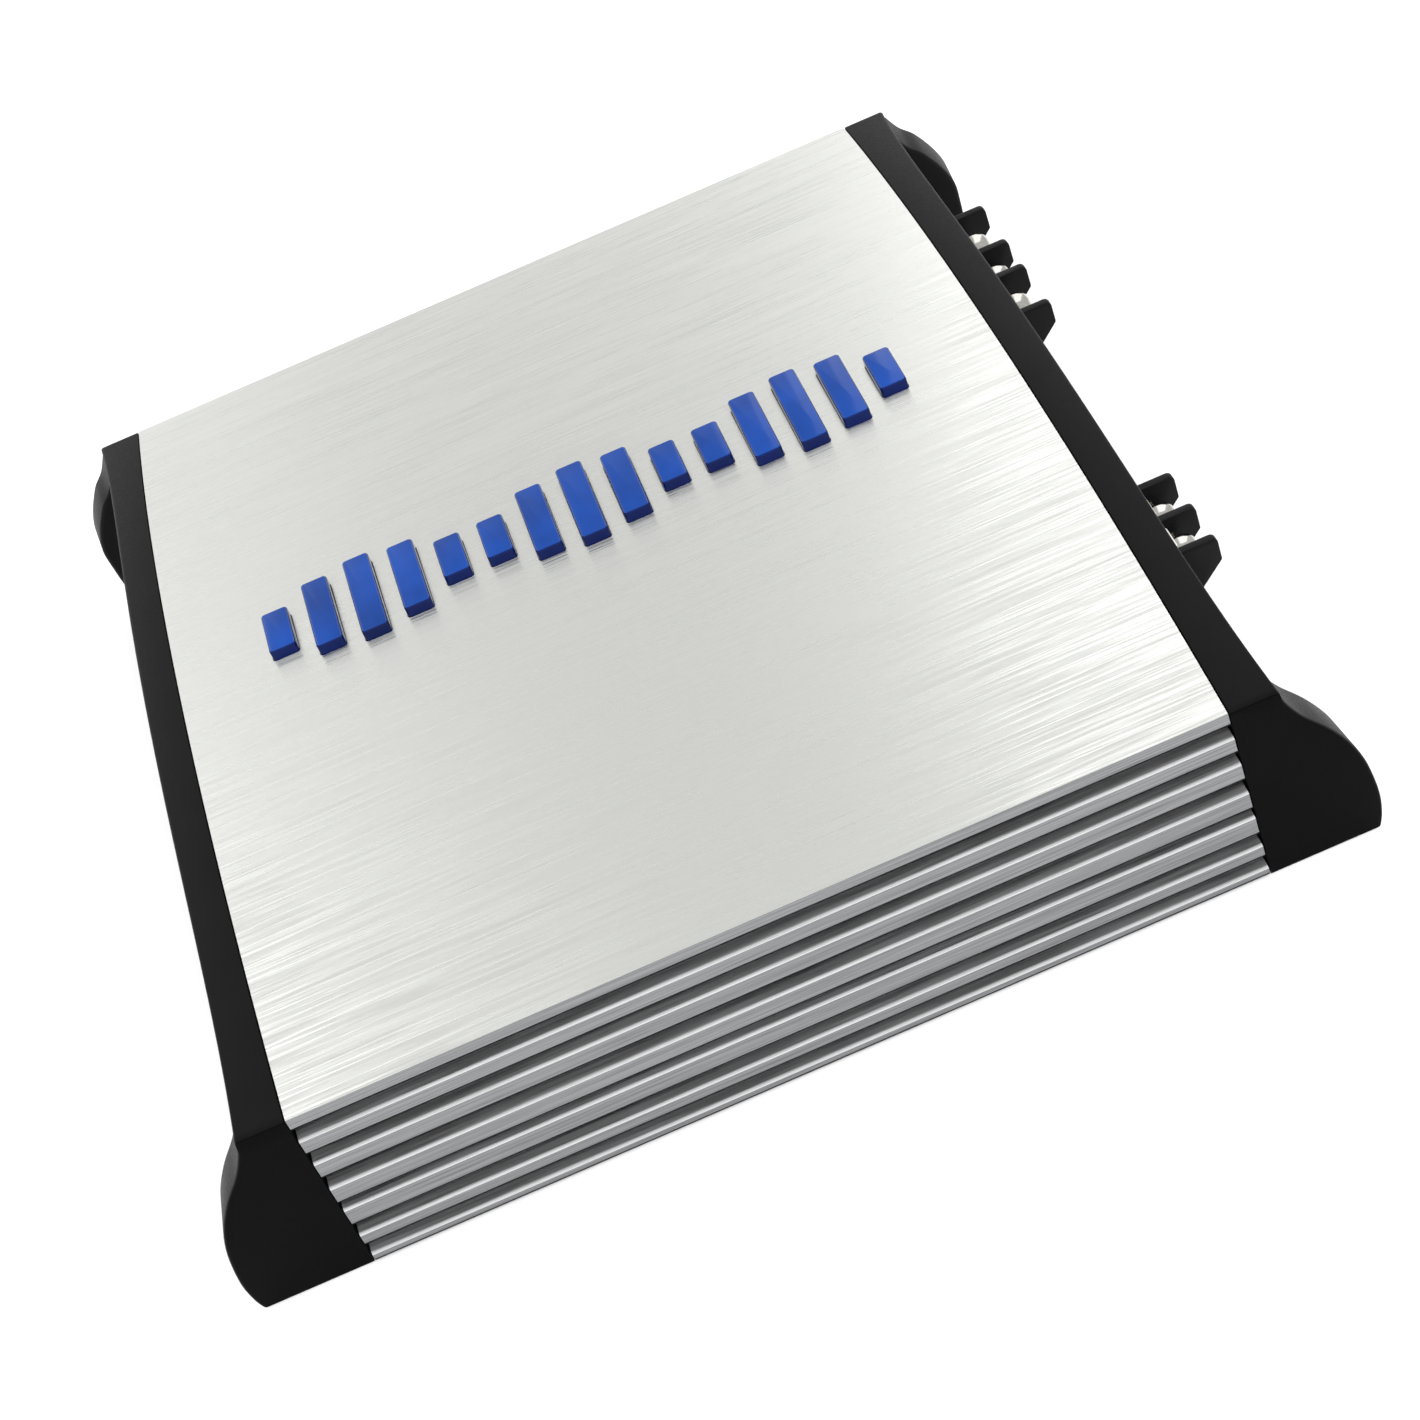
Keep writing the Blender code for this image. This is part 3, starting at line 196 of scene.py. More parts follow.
def add_noise(tree, scale, stretch=(1, 1, 1), detail=3.0, rough=0.55):
    """Noise in object space. The stretch multiplies the frequency along each axis."""
    coords = tree.nodes.new("ShaderNodeTexCoord")
    mapping = tree.nodes.new("ShaderNodeMapping")
    mapping.inputs["Scale"].default_value = stretch
    noise = tree.nodes.new("ShaderNodeTexNoise")
    noise.inputs["Scale"].default_value = scale
    noise.inputs["Detail"].default_value = detail
    noise.inputs["Roughness"].default_value = rough
    tree.links.new(coords.outputs["Object"], mapping.inputs["Vector"])
    tree.links.new(mapping.outputs["Vector"], noise.inputs["Vector"])
    return noise.outputs["Fac"]


def remap(tree, value, low, high, start=0.3, end=0.7):
    node = tree.nodes.new("ShaderNodeMapRange")
    node.inputs["From Min"].default_value = start
    node.inputs["From Max"].default_value = end
    node.inputs["To Min"].default_value = low
    node.inputs["To Max"].default_value = high
    tree.links.new(value, node.inputs["Value"])
    return node.outputs["Result"]


def mix_colours(tree, factor, first, second):
    node = tree.nodes.new("ShaderNodeMix")
    node.data_type = "RGBA"
    node.inputs[6].default_value = (*first, 1)
    node.inputs[7].default_value = (*second, 1)
    tree.links.new(factor, node.inputs[0])
    return node.outputs[2]


def add_bump(tree, shader, height, strength, distance):
    node = tree.nodes.new("ShaderNodeBump")
    node.inputs["Strength"].default_value = strength
    node.inputs["Distance"].default_value = distance
    tree.links.new(height, node.inputs["Height"])
    tree.links.new(node.outputs["Normal"], shader.inputs["Normal"])


def shade(base, factor):
    return tuple(min(1, channel * factor) for channel in base)


def plain_finish(name, base, roughness, metallic=0.0, spread=0.12, mottle=60.0, grain=2500.0,
                 grain_depth=0.02 * MM, stretch=(1, 1, 1), **constants):
    """A finish with cloudy variation of colour and gloss, and a fine surface grain."""
    made, tree, shader = new_material(name, base, roughness, metallic, **constants)
    cloud = add_noise(tree, mottle)
    factor = remap(tree, cloud, 0, 1)
    colour = mix_colours(tree, factor, shade(base, 1 - spread), shade(base, 1 + spread))
    tree.links.new(colour, shader.inputs["Base Color"])
    fine = add_noise(tree, grain, stretch, 2)
    gloss = remap(tree, fine, roughness * 0.88, roughness * 1.12)
    tree.links.new(gloss, shader.inputs["Roughness"])
    add_bump(tree, shader, fine, 0.5, grain_depth)
    return made


def brushed_aluminium(name, base, roughness, contrast, gloss_spread=0.2):
    """Clear anodised aluminium with the fine dashes that brushing along X leaves."""
    made, tree, shader = new_material(
        name, base, roughness, 1.0, **{"Anisotropic": 0.93, "Anisotropic Rotation": 0.25}
    )
    dashes = add_noise(tree, 1, (35, 2600, 2600), 3, 0.7)
    hairs = add_noise(tree, 1, (90, 6500, 6500), 2, 0.5)
    bands = add_noise(tree, 1, (12, 900, 900), 2, 0.5)
    total = tree.nodes.new("ShaderNodeMath")
    total.operation = "MULTIPLY_ADD"
    total.inputs[1].default_value = 0.2
    tree.links.new(bands, total.inputs[0])
    tree.links.new(dashes, total.inputs[2])
    factor = remap(tree, total.outputs[0], 0, 1, 0.4, 0.72)
    colour = mix_colours(tree, factor, shade(base, 1 - contrast), shade(base, 1 + contrast / 2))
    tree.links.new(colour, shader.inputs["Base Color"])
    smoothest = roughness * (1 - gloss_spread)
    roughest = roughness * (1 + 1.4 * gloss_spread)
    gloss = remap(tree, total.outputs[0], smoothest, roughest, 0.4, 0.72)
    tree.links.new(gloss, shader.inputs["Roughness"])
    tangent = tree.nodes.new("ShaderNodeTangent")
    tangent.direction_type = "UV_MAP"
    tangent.uv_map = "brush"
    tree.links.new(tangent.outputs["Tangent"], shader.inputs["Tangent"])
    heights = tree.nodes.new("ShaderNodeMath")
    heights.operation = "ADD"
    tree.links.new(dashes, heights.inputs[0])
    tree.links.new(hairs, heights.inputs[1])
    add_bump(tree, shader, heights.outputs[0], 0.17, 0.02 * MM)
    return made


def blue_acrylic(name, base):
    """Dyed acrylic, clouded a little by the light that it carries."""
    made, tree, shader = new_material(
        name, base, 0.12, 0.0, **{"IOR": 1.49, "Specular IOR Level": 0.22}
    )
    cloud = add_noise(tree, 60, (1, 1, 1), 2)
    factor = remap(tree, cloud, 0, 1)
    colour = mix_colours(tree, factor, shade(base, 0.78), shade(base, 1.2))
    tree.links.new(colour, shader.inputs["Base Color"])
    fine = add_noise(tree, 700, (1, 1, 1), 1)
    add_bump(tree, shader, fine, 0.2, 0.01 * MM)
    return made


def circuit_board(name, base, trace):
    """Solder mask with the pattern of copper areas under it."""
    made, tree, shader = new_material(name, base, 0.35, 0.0, **{"Coat Weight": 0.4})
    coords = tree.nodes.new("ShaderNodeTexCoord")
    cells = tree.nodes.new("ShaderNodeTexVoronoi")
    cells.distance = "CHEBYCHEV"
    cells.inputs["Scale"].default_value = 130
    tree.links.new(coords.outputs["Object"], cells.inputs["Vector"])
    factor = remap(tree, cells.outputs["Distance"], 0, 1, 0.35, 0.42)
    tree.links.new(mix_colours(tree, factor, trace, base), shader.inputs["Base Color"])
    add_bump(tree, shader, factor, 0.3, 0.03 * MM)
    return made


WINDING_TURNS = 72


def winding(name, base):
    """Enamelled wire lying side by side round a ring."""
    made, tree, shader = new_material(name, base, 0.3, 0.8, **{"Coat Weight": 0.6})
    coords = tree.nodes.new("ShaderNodeTexCoord")
    gradient = tree.nodes.new("ShaderNodeTexGradient")
    gradient.gradient_type = "RADIAL"
    tree.links.new(coords.outputs["Object"], gradient.inputs["Vector"])
    turns = tree.nodes.new("ShaderNodeMath")
    turns.operation = "MULTIPLY"
    turns.inputs[1].default_value = 2 * math.pi * WINDING_TURNS
    tree.links.new(gradient.outputs["Fac"], turns.inputs[0])
    wave = tree.nodes.new("ShaderNodeMath")
    wave.operation = "SINE"
    tree.links.new(turns.outputs[0], wave.inputs[0])
    factor = remap(tree, wave.outputs[0], 0, 1, -1, 1)
    # The darker bands between the turns are painted shade in the creases between the wires.
    tree.links.new(mix_colours(tree, factor, shade(base, 0.35), base), shader.inputs["Base Color"])
    add_bump(tree, shader, factor, 0.8, 0.5 * MM)
    return made


BRUSH_ALONG_Y = (900, 30, 900)
DULL = {"Specular IOR Level": 0.08}
VERY_DULL = {"Specular IOR Level": 0.04}
MATERIALS = {
    "floor": lambda: plain_finish(
        "floor_paper", (0.93, 0.93, 0.93), 0.75, spread=0.004, mottle=3, grain=300),
    "panel": lambda: brushed_aluminium(
        "brushed_aluminium", (0.78, 0.787, 0.758), 0.34, 0.09, 0.45),
    # Fin faces: a darker copy of the aluminium, painted shade for the dim surroundings that they
    # reflect.
    "fin": lambda: brushed_aluminium("fin_face_painted_shade", (0.3, 0.304, 0.312), 0.36, 0.4),
    # Fin tops: a darker copy as well, painted shade from the fin above.
    "shelf_painted_shade": lambda: brushed_aluminium("fin_top_painted_shade", (0.56, 0.565, 0.575), 0.36, 0.2),
    # Rounded upper fin edges: a lighter copy of the aluminium, a painted highlight from the overhead
    # light.
    "crest_painted_highlight": lambda: brushed_aluminium("fin_edge_painted_highlight", (0.85, 0.855, 0.86), 0.3, 0.15),
    # Gap roots and undersides: near-black aluminium, painted shade where the fins shut out the light.
    "groove": lambda: brushed_aluminium("groove_painted_shade", (0.012, 0.012, 0.013), 0.5, 0.3),
    "cap": lambda: plain_finish(
        "cap_moulding", (0.0035, 0.0035, 0.0037), 0.48, spread=0.15, grain=1900,
        grain_depth=0.025 * MM, **DULL),
    # Front and rear faces of the wings: a darker copy of the cap moulding, painted shade.
    "cap_side_painted_shade": lambda: plain_finish(
        "cap_side_moulding_painted_shade", (0.001, 0.001, 0.0013), 0.5, spread=0.2, grain=1900,
        grain_depth=0.02 * MM, **VERY_DULL),
    "nylon": lambda: plain_finish(
        "black_nylon", (0.005, 0.005, 0.0052), 0.4, grain=1500, spread=0.15, **DULL),
    "blue": lambda: blue_acrylic("blue_acrylic", (0.002, 0.04, 0.235)),
    # Sides of the badge bars: a darker copy of the blue acrylic, painted shade.
    "blue_side_painted_shade": lambda: blue_acrylic("blue_acrylic_side_painted_shade", (0.001, 0.007, 0.065)),
    "nickel": lambda: plain_finish(
        "nickel_plate", (0.5, 0.485, 0.455), 0.14, 1.0, spread=0.15, mottle=500, grain=3000,
        grain_depth=0.006 * MM),
    # Contacts at the back of each bay: a darker copy of the nickel, painted shade for the recess behind
    # the clamp.
    "nickel_painted_shade": lambda: plain_finish(
        "nickel_painted_shade", (0.16, 0.155, 0.15), 0.22, 1.0, spread=0.3, mottle=500, grain=2500,
        grain_depth=0.01 * MM),
    "zinc": lambda: plain_finish(
        "zinc_plate", (0.6, 0.61, 0.63), 0.36, 1.0, spread=0.12, mottle=90, grain=1,
        stretch=BRUSH_ALONG_Y, grain_depth=0.01 * MM),
    "black_zinc": lambda: plain_finish(
        "black_zinc", (0.05, 0.05, 0.052), 0.3, 1.0, spread=0.2, mottle=300, grain=2500,
        grain_depth=0.008 * MM),
    "gold": lambda: plain_finish(
        "gold_plate", (0.86, 0.62, 0.24), 0.2, 1.0, spread=0.05, mottle=300, grain=3000,
        grain_depth=0.005 * MM),
    "green": lambda: circuit_board("green_board", (0.01, 0.09, 0.03), (0.03, 0.2, 0.07)),
    "white": lambda: circuit_board("white_board", (0.78, 0.78, 0.75), (0.7, 0.69, 0.62)),
    "copper": lambda: winding("copper_winding", (0.62, 0.2, 0.07)),
    "sleeve": lambda: plain_finish("capacitor_sleeve", (0.02, 0.022, 0.045), 0.25, spread=0.15),
    "epoxy": lambda: plain_finish(
        "epoxy", (0.02, 0.02, 0.02), 0.6, grain=2200, grain_depth=0.04 * MM),
    "pad": lambda: plain_finish(
        "thermal_pad", (0.4, 0.43, 0.47), 0.8, grain=900, grain_depth=0.05 * MM),
    "amber": lambda: plain_finish(
        "fuse_amber", (0.85, 0.33, 0.02), 0.15, spread=0.08, grain=800, grain_depth=0.005 * MM,
        **{"Transmission Weight": 0.45, "IOR": 1.55}),
    "lens_blue": lambda: plain_finish(
        "lens_blue", (0.06, 0.25, 0.95), 0.08, spread=0.1, mottle=600,
        grain_depth=0.002 * MM, **{"Transmission Weight": 0.5}),
    "lens_red": lambda: plain_finish(
        "lens_red", (0.8, 0.04, 0.03), 0.08, spread=0.1, mottle=600,
        grain_depth=0.002 * MM, **{"Transmission Weight": 0.5}),
    "white_plastic": lambda: plain_finish("white_plastic", (0.8, 0.8, 0.78), 0.4, spread=0.03),
    "red_plastic": lambda: plain_finish("red_plastic", (0.6, 0.02, 0.02), 0.4, spread=0.08),
}
MADE = {}


def material(key):
    """The material of this key, made when it is first asked for."""
    if key not in MADE:
        MADE[key] = MATERIALS[key]()
    return MADE[key]


# ---------------------------------------------------------------- mesh helpers


def mesh_object(name, bm, key):
    """An object of this mesh, smooth but for its sharp edges, in the material of this key."""
    bmesh.ops.recalc_face_normals(bm, faces=bm.faces)
    mesh = bpy.data.meshes.new(name)
    bm.to_mesh(mesh)
    bm.free()
    mesh.materials.append(material(key))
    obj = bpy.data.objects.new(name, mesh)
    bpy.context.scene.collection.objects.link(obj)
    mesh.shade_smooth()
    mesh.set_sharp_from_angle(angle=math.radians(SHARP_ANGLE))
    return obj


def bake_modifiers(obj):
    """Applies every modifier, and shades the result."""
    bpy.context.view_layer.update()
    graph = bpy.context.evaluated_depsgraph_get()
    mesh = bpy.data.meshes.new_from_object(obj.evaluated_get(graph))
    obj.modifiers.clear()
    old = obj.data
    obj.data = mesh
    mesh.name = obj.name
    bpy.data.meshes.remove(old)
    mesh.shade_smooth()
    mesh.set_sharp_from_angle(angle=math.radians(SHARP_ANGLE))
    return obj


def bevel(obj, width, segments=2, angle=SHARP_ANGLE):
    step = obj.modifiers.new("bevel", "BEVEL")
    step.width = width
    step.segments = segments
    step.limit_method = "ANGLE"
    step.angle_limit = math.radians(angle)
    return obj


def combine(obj, operation, others):
    """Boolean steps, applied at once. The other shapes are used up."""
    for other in others:
        step = obj.modifiers.new("boolean", "BOOLEAN")
        step.operation = operation
        step.object = other
    bake_modifiers(obj)
    for other in others:
        bpy.data.objects.remove(other, do_unlink=True)


def ordered(low, high):
    pairs = [sorted(pair) for pair in zip(low, high)]
    return Vector([pair[0] for pair in pairs]), Vector([pair[1] for pair in pairs])


def block(name, low, high, key, round_edges=0.0):
    low, high = ordered(low, high)
    bm = bmesh.new()
    size = high - low
    bmesh.ops.create_cube(bm, size=1, matrix=Matrix.LocRotScale((low + high) / 2, None, size))
    obj = mesh_object(name, bm, key)
    if round_edges:
        bake_modifiers(bevel(obj, round_edges))
    return obj


def corner_arc(before, corner, after, radius, steps):
    """Points that round one corner of an outline."""
    here = Vector(corner)
    to_before = (Vector(before) - here).normalized()
    to_after = (Vector(after) - here).normalized()
    half = to_before.angle(to_after) / 2
    reach = radius / math.tan(half)
    centre = here + (to_before + to_after).normalized() * (radius / math.sin(half))
    start = here + to_before * reach - centre
    end = here + to_after * reach - centre
    sweep = start.angle_signed(end)
    points = []
    for i in range(steps + 1):
        turn = Matrix.Rotation(-sweep * i / steps, 2)
        points.append(tuple(centre + turn @ start))
    return points


def rounded_outline(corners, steps):
    """An outline from (across, up, radius) corners, each rounded by its own radius."""
    points = []
    for i, (across, up, radius) in enumerate(corners):
        if radius <= 0:
            points.append((across, up))
            continue
        before = corners[i - 1][:2]
        after = corners[(i + 1) % len(corners)][:2]
        points += corner_arc(before, (across, up), after, radius, steps)
    return points


def rounded_box_outline(low, high, radius):
    (x0, y0), (x1, y1) = low, high
    corners = [(x0, y0, radius), (x1, y0, radius), (x1, y1, radius), (x0, y1, radius)]
    return rounded_outline(corners, 4)


def circle(x, y, radius, segments=32):
    turns = [2 * math.pi * i / segments for i in range(segments)]
    return [(x + radius * math.cos(turn), y + radius * math.sin(turn)) for turn in turns]


def prism(name, outline, axis, low, high, key, uv=False):
    """A flat outline extruded along an axis, with the brushing direction as its U."""
    bm = bmesh.new()
    turn = LAY_ALONG[axis]
    sign = -1 if axis == "Y" else 1
    ends = []
    for height in (low, high):
        spots = [turn @ Vector((across, up, sign * height)) for across, up in outline]
        ends.append([bm.verts.new(spot) for spot in spots])
    run = [0.0]
    for (a, b), (c, d) in zip(outline, outline[1:] + outline[:1]):
        run.append(run[-1] + math.hypot(c - a, d - b))
    layer = bm.loops.layers.uv.new("brush")
    for i in range(len(outline)):
        j = (i + 1) % len(outline)
        face = bm.faces.new((ends[0][i], ends[0][j], ends[1][j], ends[1][i]))
        if uv:
            corners = ((low, run[i]), (low, run[i + 1]), (high, run[i + 1]), (high, run[i]))
            for loop, (u, v) in zip(face.loops, corners):
                loop[layer].uv = (UV_PER_METRE * u, UV_PER_METRE * v)
    bm.faces.new(ends[0])
    bm.faces.new(ends[1])
    return mesh_object(name, bm, key)


def turned(name, profile, key, location=(0, 0, 0), axis="Z", steps=48):
    """A turned piece: (radius, height) points from its top, down the outer side."""
    bm = bmesh.new()
    turn = Matrix.Translation(location) @ LAY_ALONG[axis]
    rows = []
    for radius, height in profile:
        if radius < 1e-7:
            rows.append([bm.verts.new(turn @ Vector((0, 0, height)))])
            continue
        spots = circle(0, 0, radius, steps)
        rows.append([bm.verts.new(turn @ Vector((x, y, height))) for x, y in spots])
    for upper, lower in zip(rows, rows[1:]):
        for i in range(steps):
            j = (i + 1) % steps
            corners = [row[k % len(row)] for row, k in ((upper, i), (lower, i), (lower, j), (upper, j))]
            kept = list(dict.fromkeys(corners))
            if len(kept) > 2:
                bm.faces.new(kept)
    if len(rows[0]) > 1:
        bm.faces.new(rows[0])
    if len(rows[-1]) > 1:
        bm.faces.new(rows[-1])
    return mesh_object(name, bm, key)


def loft(name, rings, key):
    """A closed skin over rings that all have the same number of points."""
    bm = bmesh.new()
    rows = [[bm.verts.new(point) for point in ring] for ring in rings]
    for row, above in zip(rows, rows[1:]):
        for i in range(len(row)):
            j = (i + 1) % len(row)
            bm.faces.new((row[i], row[j], above[j], above[i]))
    bm.faces.new(rows[0])
    bm.faces.new(rows[-1])
    return mesh_object(name, bm, key)


def smooth_run(points, steps):
    """A smooth curve through the points, with the given number of steps from each to the next."""
    ends = [points[0], *points, points[-1]]
    run = []
    for i in range(1, len(ends) - 2):
        for step in range(steps):
            run.append(smooth_point(ends[i - 1 : i + 3], step / steps))
    return [*run, points[-1]]


def smooth_point(four, t):
    """The point at t of 1 between the second and the third of four points."""
    weights = (
        (-t + 2 * t**2 - t**3) / 2,
        (2 - 5 * t**2 + 3 * t**3) / 2,
        (t + 4 * t**2 - 3 * t**3) / 2,
        (-(t**2) + t**3) / 2,
    )
    return tuple(sum(w * p[k] for w, p in zip(weights, four)) for k in (0, 1))


def repaint(obj, key, choose):
    """Gives another material to the faces that the test picks by their middle and normal."""
    obj.data.materials.append(material(key))
    index = len(obj.data.materials) - 1
    for face in obj.data.polygons:
        if choose(face.center, face.normal):
            face.material_index = index


def finish_piece(obj, body, slot, *nodes):
    """Rides a piece on its body and hides the CAD nodes that it stands for. The slot is not used."""
    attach(obj, body)
    if nodes:
        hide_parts(*nodes)


# ---------------------------------------------------------------- heatsink and badge


def crown(y):
    """Height of the crowned top at this distance from its middle line."""
    return EDGE_HEIGHT + math.sqrt(CROWN_RADIUS**2 - y**2) - math.sqrt(CROWN_RADIUS**2 - HALF_DEPTH**2)


def crown_run(half_width, drop, steps):
    """Points along the crown from +Y to -Y, lowered by the drop."""
    stations = [half_width * (1 - 2 * i / steps) for i in range(steps + 1)]
    return [(y, crown(y) - drop) for y in stations]


FIN_EDGE_ROUND = 0.9 * MM
FIN_ROOT_ROUND = 0.5 * MM


def sink_side():
    """Corners of the finned side and of the inside, from the panel's edge down and up again."""
    low = EDGE_HEIGHT - PANEL_EDGE_DROP
    corners = [
        (HALF_DEPTH, EDGE_HEIGHT, 0.25 * MM),
        (HALF_DEPTH, low, FIN_EDGE_ROUND),
        (FIN_ROOT, low, FIN_ROOT_ROUND),
    ]
    for upper, lower in FIN_DROPS:
        top = EDGE_HEIGHT - upper
        bottom = EDGE_HEIGHT - lower
        corners += [
            (FIN_ROOT, top + 0.7 * MM, 0.6 * MM),
            (HALF_DEPTH, top + 0.1 * MM, FIN_EDGE_ROUND),
            (HALF_DEPTH, bottom, FIN_EDGE_ROUND),
            (FIN_ROOT, bottom, FIN_ROOT_ROUND),
        ]
    # The lowest fin ends in the foot, so its last corner gives way to the foot's inner one.
    corners[-1] = (SIDE_INNER, SINK_LOW.z, 0.2 * MM)
    boss_outer = BOSS_Y + BOSS_HALF_WIDTH
    corners += [
        (SIDE_INNER, FLANGE_LOW, 0.3 * MM),
        (FLANGE_INNER, FLANGE_LOW, 0.2 * MM),
        (FLANGE_INNER, FLANGE_HIGH, 0.2 * MM),
        (SIDE_INNER, FLANGE_HIGH, 0.3 * MM),
        (SIDE_INNER, crown(SIDE_INNER) - PANEL_THICKNESS, 1.0 * MM),
        (boss_outer, crown(boss_outer) - PANEL_THICKNESS, 0.3 * MM),
        (boss_outer, BOSS_LOW, 0.3 * MM),
        (BOSS_Y - BOSS_HALF_WIDTH, BOSS_LOW, 0.3 * MM),
    ]
    return corners


def sink_outline():
    roof = [(y, z, 0) for y, z in crown_run(BOSS_Y - BOSS_HALF_WIDTH, PANEL_THICKNESS, 40)]
    side = sink_side()
    top = [(y, z, 0) for y, z in crown_run(HALF_DEPTH - 1 * MM, 0, 120)][::-1]
    mirrored = [(-y, z, radius) for y, z, radius in reversed(side)]
    return rounded_outline(side + roof + mirrored + top, 4)


BAR_COUNT = 15
BAR_PITCH = 10.6 * MM
BAR_WIDTH = 6.4 * MM
BAR_LONGEST = 28 * MM
BAR_SHORTEST_SHARE = 0.3
BARS_PER_WAVE = 5
BAR_ROUND = 0.9 * MM
BAR_CENTRE_Y = (GUIDE_LOW.y + GUIDE_HIGH.y) / 2
SLOT_PLAY = 0.12 * MM
GUIDE_THICKNESS = 3.2 * MM


def bars():
    """Middle, half-width and half-length of each bar of the badge."""
    found = []
    for i in range(BAR_COUNT):
        x = (i - (BAR_COUNT - 1) / 2) * BAR_PITCH
        wave = abs(math.sin(math.pi * (i + 0.5) / BARS_PER_WAVE))
        share = BAR_SHORTEST_SHARE + (1 - BAR_SHORTEST_SHARE) * wave
        found.append((x, BAR_WIDTH / 2, BAR_LONGEST / 2 * share))
    return found


def bar_prism(name, x, half_width, half_length, low, high):
    low_corner = (x - half_width, BAR_CENTRE_Y - half_length)
    high_corner = (x + half_width, BAR_CENTRE_Y + half_length)
    outline = rounded_box_outline(low_corner, high_corner, BAR_ROUND)
    return prism(name, outline, "Z", low, high, "blue")


def make_heatsink():
    outline = sink_outline()
    sink = prism("heatsink", outline, "X", -HALF_LENGTH, HALF_LENGTH, "panel", uv=True)
    slots = [
        bar_prism("slot", x, half_width + SLOT_PLAY, half_length + SLOT_PLAY, 50 * MM, 66 * MM)
        for x, half_width, half_length in bars()
    ]
    combine(sink, "DIFFERENCE", slots)
    paint_fin_shade_and_highlight(sink)
    finish_piece(sink, "root", "sink_aluminium", "heatsink_shell")


def paint_fin_shade_and_highlight(sink):
    """Lit and shaded copies of the aluminium on the fins: painted shade on the fin faces and their
    tops, a painted highlight on the bright upper edges, then painted shade in the dark gaps and
    undersides.
    """
    panel_foot = EDGE_HEIGHT - PANEL_EDGE_DROP

    def on_fin(middle):
        return middle.z < panel_foot and abs(middle.y) > SIDE_INNER

    def in_gap(middle):
        return middle.z < panel_foot and abs(middle.y) < FIN_ROOT + 0.6 * MM

    # Painted shade on the fin faces.
    repaint(sink, "fin", lambda middle, normal: abs(middle.y) > SIDE_INNER and normal.z < 0.7)
    # Painted shade on the tops of the fins.
    repaint(sink, "shelf_painted_shade", lambda middle, normal: on_fin(middle) and normal.z > 0.9)
    # Painted highlight on the rounded upper edges.
    repaint(sink, "crest_painted_highlight", lambda middle, normal: on_fin(middle) and 0.3 < normal.z < 0.985)
    # Painted shade in the gaps and on every underside.
    repaint(sink, "groove", lambda middle, normal: in_gap(middle) or normal.z < -0.1)


def make_badge():
    bar_foot = GUIDE_LOW.z + GUIDE_THICKNESS + 0.2 * MM
    for number, (x, half_width, half_length) in enumerate(bars(), 1):
        bar = bar_prism(f"badge_bar_{number}", x, half_width, half_length, bar_foot, GUIDE_HIGH.z)
        bake_modifiers(bevel(bar, 0.45 * MM, 3, 60))
        # The sides of each bar get painted shade.
        repaint(bar, "blue_side_painted_shade", lambda _, normal: normal.z < 0.8)
        finish_piece(bar, "root", "blue_guide")
    outline = rounded_box_outline((GUIDE_LOW.x, GUIDE_LOW.y), (GUIDE_HIGH.x, GUIDE_HIGH.y), 2 * MM)
    base = prism("badge_base", outline, "Z", GUIDE_LOW.z, GUIDE_LOW.z + GUIDE_THICKNESS, "blue")
    finish_piece(base, "root", "blue_guide", "badge_light_guide")


# ---------------------------------------------------------------- end caps

CAP_INNER = HALF_LENGTH + GAP
PLATE_INNER = 100.6 * MM
PLATE_OUTER = 107.5 * MM
PLATE_HALF_DEPTH = 126.5 * MM
PLATE_FOOT = 1 * MM
PLATE_DROP = 2 * MM
POCKET_RIM = 6 * MM
POCKET_FLOOR = 104.5 * MM
STRIP_OUTER = 108.5 * MM
STRIP_CORNER_GAIN = 2.5 * MM
STRIP_THICKNESS = 4.5 * MM
WING_FACE = 127 * MM
WING_INNER = 100.4 * MM
WING_THICKNESS = 12 * MM
WING_DRAFT = 1 * MM
WING_OUTER_ROUND = 0.9 * MM
WING_INNER_ROUND = 1.2 * MM
WING_ROOT_X = 106.5 * MM
WING_ROOT_FILLET = 5 * MM
FILLET_STEPS = 10
# Height and half-width at the points that the outline of a corner wing runs through.
FRONT_WING_OUTLINE = (
    (0 * MM, 125.2 * MM),
    (3 * MM, 126 * MM),
    (8 * MM, 126.45 * MM),
    (14 * MM, 126 * MM),
    (20 * MM, 124.9 * MM),
    (26 * MM, 122.8 * MM),
    (32 * MM, 119.4 * MM),
    (38 * MM, 114.9 * MM),
    (43 * MM, 112.2 * MM),
    (46.5 * MM, 111.2 * MM),
)
REAR_WING_OUTLINE = (
    (0 * MM, 120.5 * MM),
    (5 * MM, 121.5 * MM),
    (12 * MM, 122.3 * MM),
    (20 * MM, 122.8 * MM),
    (26 * MM, 122.8 * MM),
    (31.7 * MM, 121 * MM),
    (38.2 * MM, 117.3 * MM),
    (42 * MM, 113.8 * MM),
    (46.5 * MM, 111.2 * MM),
)
TAB_Y = 109 * MM
TAB_OUTER = 120 * MM
TAB_REACH = (8 * MM, 12 * MM)
TAB_THICKNESS = 3.5 * MM
TAB_HOLE_X = 115.5 * MM
TAB_HOLE_RADIUS = 2.4 * MM
LUG_X = (94 * MM, 105.5 * MM)
LUG_Y = (102 * MM, 110 * MM)
LUG_Z = (9.9 * MM, 13.9 * MM)
# What a window's and a screw hole's cutter spans, well past both faces of the wall.
WINDOW_CUT = (102 * MM, 110 * MM)
SCREW_CUT = (103 * MM, 109 * MM)
CAP_HOLE_RADIUS = 1.8 * MM


def strip_edge(y):
    return STRIP_OUTER + STRIP_CORNER_GAIN * abs(y / HALF_DEPTH) ** 5


